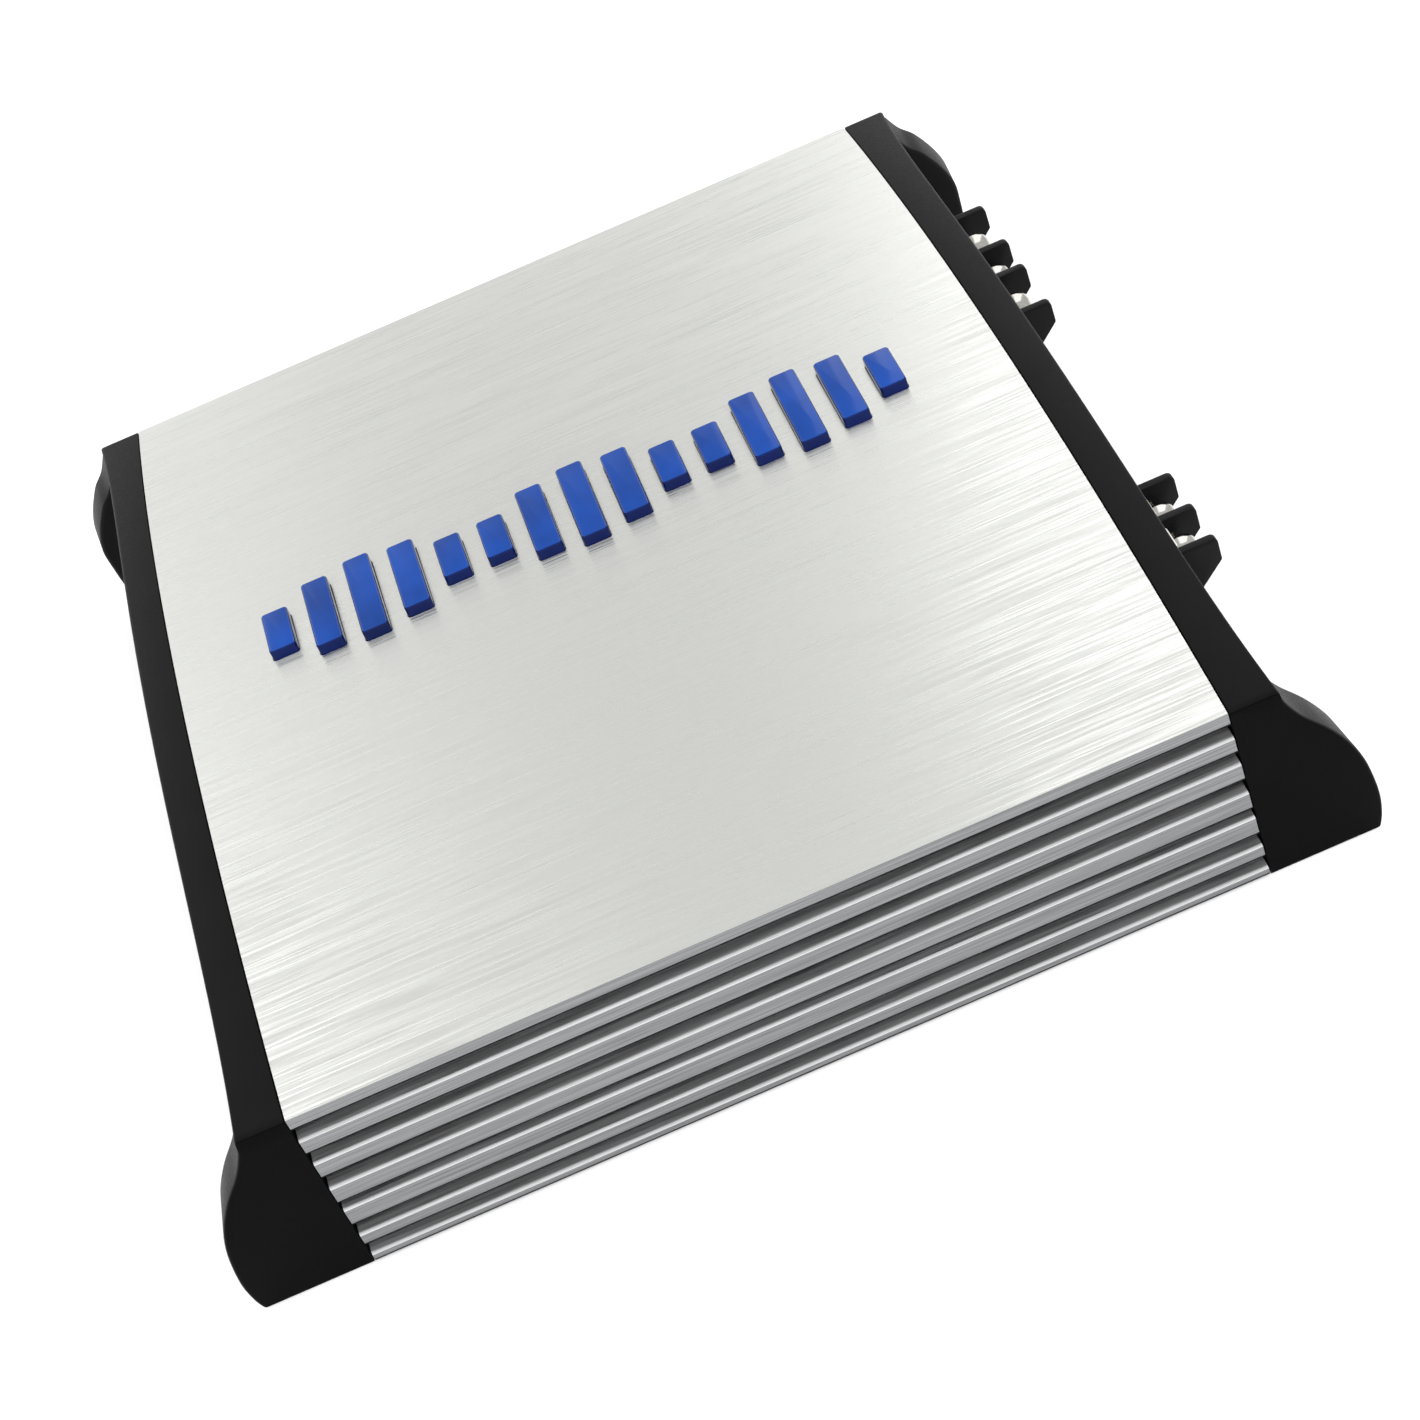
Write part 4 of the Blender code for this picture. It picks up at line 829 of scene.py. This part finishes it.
def strip_section(y, drop):
    """Section of the top strip: a fine round on its inner edge and a wider one outside."""
    top = crown(y) - drop
    edge = strip_edge(y)
    low = top - STRIP_THICKNESS + drop
    corners = [
        (CAP_INNER, low, 0),
        (CAP_INNER, top, 0.3 * MM),
        (edge, top, 0.9 * MM),
        (edge, low, 0.4 * MM),
    ]
    return rounded_outline(corners, 4)


def make_strip(side):
    ends = [(HALF_DEPTH, 0.55 * MM), (HALF_DEPTH - 0.12 * MM, 0.22 * MM), (HALF_DEPTH - 0.5 * MM, 0)]
    middle = [(y, 0) for y, _ in crown_run(HALF_DEPTH - 1.5 * MM, 0, 90)]
    stations = ends + middle + [(-y, drop) for y, drop in reversed(ends)]
    rings = [[(side * x, y, z) for x, z in strip_section(y, drop)] for y, drop in stations]
    return loft("strip", rings, "cap")


def wing_ring(width, height, side, rear, shrink):
    """Plan of a corner wing at one height: a slab with rounded edges and a fillet at its root."""
    edge = width - shrink
    inner = edge - WING_DRAFT
    back = WING_THICKNESS - shrink
    fillet = min(WING_ROOT_FILLET, 0.9 * (inner - WING_INNER_ROUND - WING_ROOT_X))
    corners = [
        (WING_INNER, shrink, 0),
        (edge, shrink, WING_OUTER_ROUND),
        (inner, back, WING_INNER_ROUND),
    ]
    for i in range(FILLET_STEPS + 1):
        turn = math.pi / 2 * i / FILLET_STEPS
        x = WING_ROOT_X + fillet * (1 - math.sin(turn))
        corners.append((x, back + fillet * (1 - math.cos(turn)), 0))
    corners.append((WING_INNER, back + fillet, 0))
    return [(side * x, rear * (WING_FACE - depth), height) for x, depth in rounded_outline(corners, 4)]


def make_wing(side, rear):
    outline = smooth_run(REAR_WING_OUTLINE if rear > 0 else FRONT_WING_OUTLINE, 7)
    foot_width = outline[0][1]
    rings = [wing_ring(foot_width, 0, side, rear, 0.5 * MM)]
    rings.append(wing_ring(foot_width + 0.1 * MM, 0.15 * MM, side, rear, 0.15 * MM))
    rings += [wing_ring(width, height, side, rear, 0) for height, width in outline[1:]]
    return loft("wing", rings, "cap")


def make_tab(side, rear):
    x_range = sorted((side * (PLATE_OUTER - 2 * MM), side * TAB_OUTER))
    y_range = sorted((rear * (TAB_Y - TAB_REACH[0]), rear * (TAB_Y + TAB_REACH[1])))
    outline = rounded_box_outline((x_range[0], y_range[0]), (x_range[1], y_range[1]), 1.5 * MM)
    tab = prism("tab", outline, "Z", 0, TAB_THICKNESS, "cap")
    bake_modifiers(bevel(tab, 0.35 * MM, 2, 60))
    ring = circle(side * TAB_HOLE_X, rear * TAB_Y, TAB_HOLE_RADIUS)
    hole = prism("hole", ring, "Z", -MM, 5 * MM, "cap")
    combine(tab, "DIFFERENCE", [hole])
    return tab


def cap_section(half_width, foot, drop, steps):
    """Section of a cap's wall or pocket: the crown, lowered by the drop, over straight sides."""
    return [*crown_run(half_width, drop, steps), (-half_width, foot), (half_width, foot)]


def make_cap(side, name, windows):
    inner, outer = sorted((side * PLATE_INNER, side * PLATE_OUTER))
    wall = cap_section(PLATE_HALF_DEPTH, PLATE_FOOT, PLATE_DROP, 60)
    cap = prism(name, wall, "X", inner, outer, "cap")
    inner, outer = sorted((side * (PLATE_INNER - 5 * MM), side * POCKET_FLOOR))
    pocket = cap_section(
        PLATE_HALF_DEPTH - POCKET_RIM, PLATE_FOOT + POCKET_RIM, PLATE_DROP + POCKET_RIM, 30
    )
    combine(cap, "DIFFERENCE", [prism("pocket", pocket, "X", inner, outer, "cap")])
    for rear in (-1, 1):
        combine(cap, "UNION", [make_wing(side, rear)])
        combine(cap, "UNION", [make_tab(side, rear)])
    combine(cap, "UNION", [make_strip(side)])
    lugs = []
    for rear in (-1, 1):
        low = (side * LUG_X[0], rear * LUG_Y[0], LUG_Z[0])
        high = (side * LUG_X[1], rear * LUG_Y[1], LUG_Z[1])
        lugs.append(block("lug", low, high, "cap", 0.4 * MM))
    combine(cap, "UNION", lugs)
    holes = [screw_hole(side, rear) for rear in (-1, 1)]
    combine(cap, "DIFFERENCE", holes + windows)

    def on_side(middle, normal):
        return abs(middle.y) > WING_FACE - 2 * MM and abs(normal.y) > 0.7

    # The wings' front and rear faces get painted shade.
    repaint(cap, "cap_side_painted_shade", on_side)
    finish_piece(cap, "root", "cap_plastic", name)


def screw_hole(side, rear):
    outline = circle(rear * BOSS_Y, BOSS_AXIS_HEIGHT, CAP_HOLE_RADIUS)
    low, high = sorted(side * x for x in SCREW_CUT)
    return prism("screw_hole", outline, "X", low, high, "cap")


def window(node, side):
    """A round-cornered opening in a cap's wall for the part of a node that passes it."""
    low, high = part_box(node)
    return rect_window(side, (low.y, high.y), (low.z, high.z))


def rect_window(side, y_range, z_range):
    low_corner = (y_range[0] - GAP, z_range[0] - GAP)
    high_corner = (y_range[1] + GAP, z_range[1] + GAP)
    outline = rounded_box_outline(low_corner, high_corner, 0.6 * MM)
    low, high = sorted(side * x for x in WINDOW_CUT)
    return prism("window", outline, "X", low, high, "cap")


def round_window(side, y, z, radius):
    low, high = sorted(side * x for x in WINDOW_CUT)
    return prism("window", circle(y, z, radius), "X", low, high, "cap")


# ---------------------------------------------------------------- screws, terminals and fuses


def cross_recess(reach, arm, depth, height):
    """A cutter shaped like a plus sign, standing along Z."""
    half = arm / 2
    quarter = [(reach, -half), (reach, half), (half, half)]
    outline = []
    for corner in range(4):
        turn = Matrix.Rotation(math.pi / 2 * corner, 2)
        outline += [tuple(turn @ Vector(point)) for point in quarter]
    return prism("recess", outline, "Z", height - depth, height + 2 * MM, "nickel")


def screw(name, node, body, slot, key, seat, axis, head_radius, head_height, radius, length):
    """A pan-head screw with a cross recess and a threaded shaft."""
    dome = [
        (0, head_height),
        (head_radius * 0.45, head_height * 0.985),
        (head_radius * 0.72, head_height * 0.9),
        (head_radius * 0.9, head_height * 0.72),
        (head_radius * 0.99, head_height * 0.42),
        (head_radius, head_height * 0.12),
        (head_radius * 0.97, 0),
        (radius, 0),
    ]
    pitch = radius * 0.36
    height = -pitch
    thread = []
    while height > -length + 1.5 * radius:
        thread += [(radius, height), (radius * 0.86, height - pitch / 2)]
        height -= pitch
    profile = dome + thread + [(radius * 0.5, -length), (0, -length)]
    made = turned(name, profile, key, steps=40)
    recess = cross_recess(head_radius * 0.52, head_radius * 0.22, head_height * 0.55, head_height)
    combine(made, "DIFFERENCE", [recess])
    made.matrix_world = Matrix.Translation(seat) @ LAY_ALONG[axis]
    finish_piece(made, body, slot, node)


TERMINALS = {
    "power": ("ground_terminal", "remote_terminal", "battery_terminal"),
    "speaker": ("speaker_minus_terminal", "speaker_plus_terminal"),
}
DIVIDER_THICKNESS = 2.2 * MM
DIVIDERS = {
    "power": (35.3 * MM, 52.6 * MM, 65.2 * MM, 82.7 * MM),
    "speaker": (-66.4 * MM, -54.4 * MM, -42.1 * MM),
}
BLOCK_FACE = 111 * MM
BLOCK_HIGH = 39 * MM
BLOCK_LOW = 20.5 * MM
BLOCK_FLANGE_X = (98 * MM, 104.2 * MM)
DIVIDER_ROOT = 3 * MM
DIVIDER_EDGE_LOW = 32.8 * MM
DIVIDER_SHELF = (115.5 * MM, 27.3 * MM)
TERMINAL_HEIGHT = 33 * MM
TERMINAL_BORE = 2.3 * MM
CLAMP_RIBS = 5


def divider_outline(outer):
    return rounded_outline(
        [
            (BLOCK_FACE - DIVIDER_ROOT, BLOCK_HIGH, 0),
            (outer, BLOCK_HIGH, 1.3 * MM),
            (outer, DIVIDER_EDGE_LOW, 0.8 * MM),
            (*DIVIDER_SHELF, 0.8 * MM),
            (DIVIDER_SHELF[0], BLOCK_LOW, 0.6 * MM),
            (BLOCK_FACE - DIVIDER_ROOT, BLOCK_LOW, 0),
        ],
        4,
    )


def block_width(kind):
    """Where a terminal block starts and ends along Y, from its first and last divider."""
    return DIVIDERS[kind][0] - DIVIDER_THICKNESS, DIVIDERS[kind][-1]


def make_terminal_block(kind):
    node = f"{kind}_terminal_block"
    low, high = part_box(node)
    front, rear = block_width(kind)
    body_low = (low.x, front, BLOCK_LOW)
    body_high = (BLOCK_FACE, rear, BLOCK_HIGH)
    made = block(f"{kind}_block", body_low, body_high, "nylon", 0.3 * MM)
    flange_low = (BLOCK_FLANGE_X[0], low.y, low.z)
    flange_high = (BLOCK_FLANGE_X[1], high.y, high.z)
    fins = [block("flange", flange_low, flange_high, "nylon", 0.4 * MM)]
    for rear_face in DIVIDERS[kind]:
        front_face = rear_face - DIVIDER_THICKNESS
        fin = prism("fin", divider_outline(high.x), "Y", front_face, rear_face, "nylon")
        fins.append(bake_modifiers(bevel(fin, 0.28 * MM, 2, 50)))
    combine(made, "UNION", fins)
    taps = []
    for terminal in TERMINALS[kind]:
        y = sum(corner.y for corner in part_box(terminal + "_screw")) / 2
        ring = circle(y, TERMINAL_HEIGHT, TERMINAL_BORE)
        taps.append(prism("tap", ring, "X", 96 * MM, BLOCK_FACE + MM, "nylon"))
    combine(made, "DIFFERENCE", taps)
    finish_piece(made, "root", "black_nylon", node)


def make_terminal(name):
    """A square clamp plate with ribs and two ears, and the screw that holds it."""
    low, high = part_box(name + "_clamp")
    y = (low.y + high.y) / 2
    half = (high.y - low.y) / 2
    rise = (high.z - low.z) / 2
    outline = rounded_box_outline((low.y, low.z), (high.y, high.z), 1.0 * MM)
    plate = prism(name + "_plate", outline, "X", low.x + 0.4 * MM, high.x, "nickel")
    bake_modifiers(bevel(plate, 0.2 * MM, 2, 60))
    ribs = []
    for i in range(CLAMP_RIBS):
        z = TERMINAL_HEIGHT - rise + 1.4 * MM + i * (2 * rise - 2.8 * MM) / (CLAMP_RIBS - 1)
        rib_low = (low.x, y - half + 0.6 * MM, z - 0.35 * MM)
        rib_high = (low.x + 0.9 * MM, y + half - 0.6 * MM, z + 0.35 * MM)
        ribs.append(block("rib", rib_low, rib_high, "nickel"))
    for edge in (-1, 1):
        ear = y + edge * (half - 0.45 * MM)
        ear_low = (high.x - 0.5 * MM, ear - 0.4 * MM, low.z + 2 * MM)
        ear_high = (high.x + 1.2 * MM, ear + 0.4 * MM, high.z - 2 * MM)
        ribs.append(block("ear", ear_low, ear_high, "nickel"))
    combine(plate, "UNION", ribs)
    ring = circle(y, TERMINAL_HEIGHT, TERMINAL_BORE)
    combine(plate, "DIFFERENCE", [prism("bore", ring, "X", low.x - MM, high.x + MM, "nickel")])
    finish_piece(plate, name + "_clamp", "nickel", name + "_clamp")
    low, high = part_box(name + "_screw")
    head_radius = (high.y - low.y) / 2
    seat_x = frame_joint(name + "_turn")["pos_m"][0]
    screw(
        name + "_screw_fine", name + "_screw", name + "_screw", "nickel", "nickel",
        (seat_x, y, TERMINAL_HEIGHT), "X", head_radius, high.x - seat_x, 2 * MM, seat_x - low.x,
    )


def frame_joint(name):
    return next(joint for joint in frame["joints"] if joint["name"] == name)


def make_contact(kind):
    """Fixed nickel contact behind the clamp plate of each bay, in a darker copy of the nickel as
    painted shade for the recess.
    """
    for terminal in TERMINALS[kind]:
        low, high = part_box(terminal + "_clamp")
        contact = block(
            terminal + "_contact",
            (BLOCK_FACE - 0.3 * MM, low.y - 0.4 * MM, BLOCK_LOW + 2 * MM),
            (BLOCK_FACE + 0.2 * MM, high.y + 0.4 * MM, BLOCK_HIGH - 0.4 * MM),
            "nickel_painted_shade", 0.1 * MM,
        )
        finish_piece(contact, "root", "nickel")


FUSE_BODY_LENGTH = 8.5 * MM
BLADE_OFFSETS = (-6.5 * MM, 6.5 * MM)


def make_fuses():
    low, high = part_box("fuse_holder")
    holder = block("fuse_holder_fine", low, high, "nylon", 0.5 * MM)
    pockets = []
    for number in (1, 2):
        fuse_low, fuse_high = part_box(f"blade_fuse_{number}")
        body_x = fuse_high.x - FUSE_BODY_LENGTH
        pocket_low = (body_x - GAP, fuse_low.y - GAP, fuse_low.z - GAP)
        pocket_high = (high.x + MM, fuse_high.y + GAP, fuse_high.z + GAP)
        pockets.append(block("pocket", pocket_low, pocket_high, "nylon"))
        y = (fuse_low.y + fuse_high.y) / 2
        for offset in BLADE_OFFSETS:
            z = (fuse_low.z + fuse_high.z) / 2 + offset
            slit_low = (fuse_low.x - MM, y - 0.7 * MM, z - 2.8 * MM)
            slit_high = (body_x + MM, y + 0.7 * MM, z + 2.8 * MM)
            pockets.append(block("slit", slit_low, slit_high, "nylon"))
        make_fuse(number, fuse_low, fuse_high, body_x)
    combine(holder, "DIFFERENCE", pockets)
    finish_piece(holder, "root", "black_nylon", "fuse_holder")


def make_fuse(number, low, high, body_x):
    """A blade fuse: a stepped translucent body, hollow in the middle, over two blades."""
    middle = (low.z + high.z) / 2
    half = (high.z - low.z) / 2
    y = (low.y + high.y) / 2
    lower = [
        (body_x, middle - half + 1.2 * MM, 0.4 * MM),
        (high.x - 3.2 * MM, middle - half + 1.2 * MM, 0.4 * MM),
        (high.x - 2.8 * MM, middle - half, 0.6 * MM),
        (high.x, middle - half, 0.8 * MM),
    ]
    outline = rounded_outline(mirrored_up(lower, middle), 3)
    body = prism(f"fuse_{number}_body", outline, "Y", low.y, high.y, "amber")
    bake_modifiers(bevel(body, 0.3 * MM, 2, 50))
    hollow_low = (body_x + 2 * MM, low.y - MM, middle - 3 * MM)
    hollow_high = (high.x - 3 * MM, low.y + 1 * MM, middle + 3 * MM)
    cutters = [block("hollow", hollow_low, hollow_high, "amber", 0.4 * MM)]
    for offset in BLADE_OFFSETS:
        z = middle + offset
        test_low = (high.x - 1.6 * MM, y - 0.9 * MM, z - 1.4 * MM)
        test_high = (high.x + MM, y + 0.9 * MM, z + 1.4 * MM)
        cutters.append(block("test_point", test_low, test_high, "amber"))
    combine(body, "DIFFERENCE", cutters)
    finish_piece(body, f"blade_fuse_{number}", "fuse_amber", f"blade_fuse_{number}")
    for place, offset in zip(("low", "high"), BLADE_OFFSETS):
        z = middle + offset
        lower = [
            (low.x, z - 1.5 * MM, 0.5 * MM),
            (low.x + 1.5 * MM, z - 2.5 * MM, 0.5 * MM),
            (body_x - 0.02 * MM, z - 2.5 * MM, 0),
        ]
        outline = rounded_outline(mirrored_up(lower, z), 3)
        name = f"fuse_{number}_blade_{place}"
        blade = prism(name, outline, "Y", y - 0.4 * MM, y + 0.4 * MM, "nickel")
        finish_piece(blade, f"blade_fuse_{number}", "nickel")


def mirrored_up(corners, middle):
    """The corners, and then their mirror image above the middle, to close the outline."""
    return corners + [(x, 2 * middle - z, radius) for x, z, radius in reversed(corners)]


# ---------------------------------------------------------------- control end

KNOBS = ("gain", "low_pass", "subsonic", "bass_boost")
CONTROL_HEIGHT = 30 * MM
KNOB_FLUTES = 24
KNOB_WINDOW = 3.9 * MM
LED_Y = (72 * MM, 80 * MM)
LED_WINDOW = 1.8 * MM
LEVER_SLOT = ((28.5 * MM, 37.5 * MM), (27.8 * MM, 32.2 * MM))
RCA_Y = (-92 * MM, -72 * MM)
RCA_WINDOW = 4.5 * MM
RCA_OUTER = 114 * MM
PORT_SOCKET_FLOOR = 95.5 * MM
PORT_CONTACTS = 4
PORT_CONTACT_PITCH = 1.27 * MM


def make_knob(name):
    low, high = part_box(name + "_knob")
    y = (low.y + high.y) / 2
    radius = (high.y - low.y) / 2
    outline = []
    for i in range(KNOB_FLUTES * 4):
        turn = 2 * math.pi * i / (KNOB_FLUTES * 4)
        reach = radius - 0.16 * MM * (1 - math.cos(turn * KNOB_FLUTES)) / 2
        outline.append((y + reach * math.cos(turn), CONTROL_HEIGHT + reach * math.sin(turn)))
    knob = prism(name + "_knob_fine", outline, "X", low.x, high.x, "nylon")
    bake_modifiers(bevel(knob, 0.25 * MM, 2, 60))
    cutters = []
    for hole_radius, x_low, x_high in (
        (1.8 * MM, high.x - 4 * MM, high.x + MM),
        (radius * 0.62, low.x - MM, low.x + 0.7 * MM),
    ):
        ring = circle(y, CONTROL_HEIGHT, hole_radius)
        cutters.append(prism("cut", ring, "X", x_low, x_high, "nylon"))
    slot_low = (low.x - MM, y - 0.35 * MM, CONTROL_HEIGHT - 2.6 * MM)
    slot_high = (low.x + 1.5 * MM, y + 0.35 * MM, CONTROL_HEIGHT + 2.6 * MM)
    cutters.append(block("slot", slot_low, slot_high, "nylon"))
    combine(knob, "DIFFERENCE", cutters)
    finish_piece(knob, name + "_knob", "black_nylon", name + "_knob")
    pointer = block(
        name + "_pointer",
        (low.x + 0.02 * MM, y - 0.3 * MM, CONTROL_HEIGHT + radius * 0.68),
        (low.x + 0.4 * MM, y + 0.3 * MM, CONTROL_HEIGHT + radius * 0.9),
        "white_plastic", 0.05 * MM,
    )
    finish_piece(pointer, name + "_knob", "white_board")


def make_rca():
    node = "rca_jack_block"
    low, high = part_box(node)
    made = block("rca_block", (-99.5 * MM, low.y, low.z), high, "nylon", 0.6 * MM)
    finish_piece(made, "root", "black_nylon", node)
    kinds = (("white_plastic", "white_board"), ("red_plastic", "lens_red"))
    for number, (y, (key, slot)) in enumerate(zip(RCA_Y, kinds), 1):
        seat = (-99.6 * MM, y, CONTROL_HEIGHT)
        length = RCA_OUTER + seat[0]
        shell = [
            (3.7 * MM, length), (4.0 * MM, length), (4.15 * MM, length - 0.25 * MM), (4.15 * MM, 0),
            (3.4 * MM, 0), (3.4 * MM, length - 0.2 * MM), (3.7 * MM, length),
        ]
        barrel = turned(f"rca_shell_{number}", shell, "gold", seat, "-X")
        finish_piece(barrel, "root", "nickel")
        core = [
            (1.65 * MM, length - 0.5 * MM), (3.3 * MM, length - 0.5 * MM), (3.3 * MM, 0),
            (1.6 * MM, 0), (1.6 * MM, length - 0.6 * MM), (1.65 * MM, length - 0.5 * MM),
        ]
        insulator = turned(f"rca_insulator_{number}", core, key, seat, "-X")
        finish_piece(insulator, "root", slot)


def make_port():
    node = "remote_port"
    low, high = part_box(node)
    y = (low.y + high.y) / 2
    made = block("remote_port_fine", low, high, "nylon", 0.5 * MM)
    cutters = []
    # Half-width, and how far the opening reaches down and up: the socket, then its notch.
    for half, foot, top in ((4.8 * MM, -3.5 * MM, 3.5 * MM), (1.8 * MM, -4.9 * MM, -3 * MM)):
        cut_low = (low.x - MM, y - half, CONTROL_HEIGHT + foot)
        cut_high = (-PORT_SOCKET_FLOOR, y + half, CONTROL_HEIGHT + top)
        cutters.append(block("opening", cut_low, cut_high, "nylon"))
    combine(made, "DIFFERENCE", cutters)
    finish_piece(made, "root", "black_nylon", node)
    for i in range(PORT_CONTACTS):
        wire_y = y + (i - (PORT_CONTACTS - 1) / 2) * PORT_CONTACT_PITCH
        contact = block(
            f"port_contact_{i + 1}",
            (-106 * MM, wire_y - 0.2 * MM, CONTROL_HEIGHT + 3.0 * MM),
            (-96 * MM, wire_y + 0.2 * MM, CONTROL_HEIGHT + 3.45 * MM),
            "gold", 0.08 * MM,
        )
        finish_piece(contact, "root", "nickel")


def make_switch():
    node = "phase_switch_lever"
    low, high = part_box(node)
    lever = block("switch_lever_fine", low, high, "nylon", 0.35 * MM)
    y = (low.y + high.y) / 2
    grooves = []
    for offset in (-0.9 * MM, 0, 0.9 * MM):
        groove_low = (low.x - MM, y + offset - 0.2 * MM, low.z - MM)
        groove_high = (low.x + 0.35 * MM, y + offset + 0.2 * MM, high.z + MM)
        grooves.append(block("groove", groove_low, groove_high, "nylon"))
    combine(lever, "DIFFERENCE", grooves)
    finish_piece(lever, node, "black_nylon", node)


def make_indicators():
    for name, key in (("power", "lens_blue"), ("protect", "lens_red")):
        node = f"{name}_indicator"
        low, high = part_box(node)
        radius = (high.y - low.y) / 2
        length = high.x - low.x
        profile = [(0, length)]
        for i in range(1, 8):
            turn = math.pi / 2 * i / 7
            profile.append((radius * math.sin(turn), length - radius + radius * math.cos(turn)))
        profile += [(radius, 0), (0, 0)]
        seat = (high.x, (low.y + high.y) / 2, CONTROL_HEIGHT)
        lens = turned(node + "_lens", profile, key, seat, "-X", 32)
        finish_piece(lens, "root", key, node)


# ---------------------------------------------------------------- small screws, cover and inside


SMALL_SCREW_RADIUS = 1.5 * MM
CAP_SCREW_LENGTH = 14 * MM
COVER_FACE = 1.9 * MM  # where the heads of the cover's screws sit


def make_small_screws():
    for side, end in ((-1, "left"), (1, "right")):
        for place in ("front", "rear"):
            node = f"{end}_cap_screw_{place}"
            low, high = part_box(node)
            seat_x = side * (PLATE_OUTER + GAP)
            y = (low.y + high.y) / 2
            z = (low.z + high.z) / 2
            head = max(abs(low.x), abs(high.x)) - abs(seat_x)
            screw(node + "_fine", node, "root", "zinc_steel", "black_zinc", (seat_x, y, z),
                  "X" if side > 0 else "-X", (high.y - low.y) / 2, head,
                  SMALL_SCREW_RADIUS, CAP_SCREW_LENGTH)
    for number in range(1, 5):
        node = f"cover_screw_{number}"
        low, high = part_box(node)
        centre = (low + high) / 2
        seat = (centre.x, centre.y, COVER_FACE)
        screw(node + "_fine", node, "root", "zinc_steel", "black_zinc", seat, "-Z",
              (high.y - low.y) / 2, COVER_FACE - low.z, SMALL_SCREW_RADIUS, high.z - COVER_FACE)


def dress(names, key):
    """A better material on CAD nodes whose shape stays."""
    for name in names:
        data = frame["nodes"][name].data
        data.materials.clear()
        data.materials.append(material(key))
        data.shade_smooth()
        data.set_sharp_from_angle(angle=math.radians(SHARP_ANGLE))


def dress_frame():
    nodes = frame["nodes"]
    dress(["bottom_cover", "phase_switch_body"], "zinc")
    dress(["transistor_clamp_bar_front", "transistor_clamp_bar_rear"], "zinc")
    dress(["main_circuit_board", "control_board"], "green")
    dress(["badge_led_board"], "white")
    dress(["power_transformer", "output_choke"], "copper")
    dress([n for n in nodes if n.startswith("filter_capacitor")], "sleeve")
    dress([n for n in nodes if n.startswith("power_transistor")], "epoxy")
    dress([n for n in nodes if n.endswith("_potentiometer")], "epoxy")
    dress([n for n in nodes if n.startswith("insulator_pad")], "pad")


make_camera()
make_studio()
make_heatsink()
make_badge()
make_cap(1, "right_end_cap", [
    *[rect_window(1, block_width(kind), (BLOCK_LOW, BLOCK_HIGH)) for kind in TERMINALS],
    window("fuse_holder", 1),
])
make_cap(-1, "left_end_cap", [
    *[round_window(-1, (low.y + high.y) / 2, CONTROL_HEIGHT, KNOB_WINDOW)
      for low, high in (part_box(name + "_knob") for name in KNOBS)],
    *[round_window(-1, y, CONTROL_HEIGHT, RCA_WINDOW) for y in RCA_Y],
    *[round_window(-1, y, CONTROL_HEIGHT, LED_WINDOW) for y in LED_Y],
    rect_window(-1, *LEVER_SLOT),
    window("remote_port", -1),
])
for terminal_kind in TERMINALS:
    make_terminal_block(terminal_kind)
    make_contact(terminal_kind)
    for terminal_name in TERMINALS[terminal_kind]:
        make_terminal(terminal_name)
make_fuses()
for knob_name in KNOBS:
    make_knob(knob_name)
make_rca()
make_port()
make_switch()
make_indicators()
make_small_screws()
dress_frame()
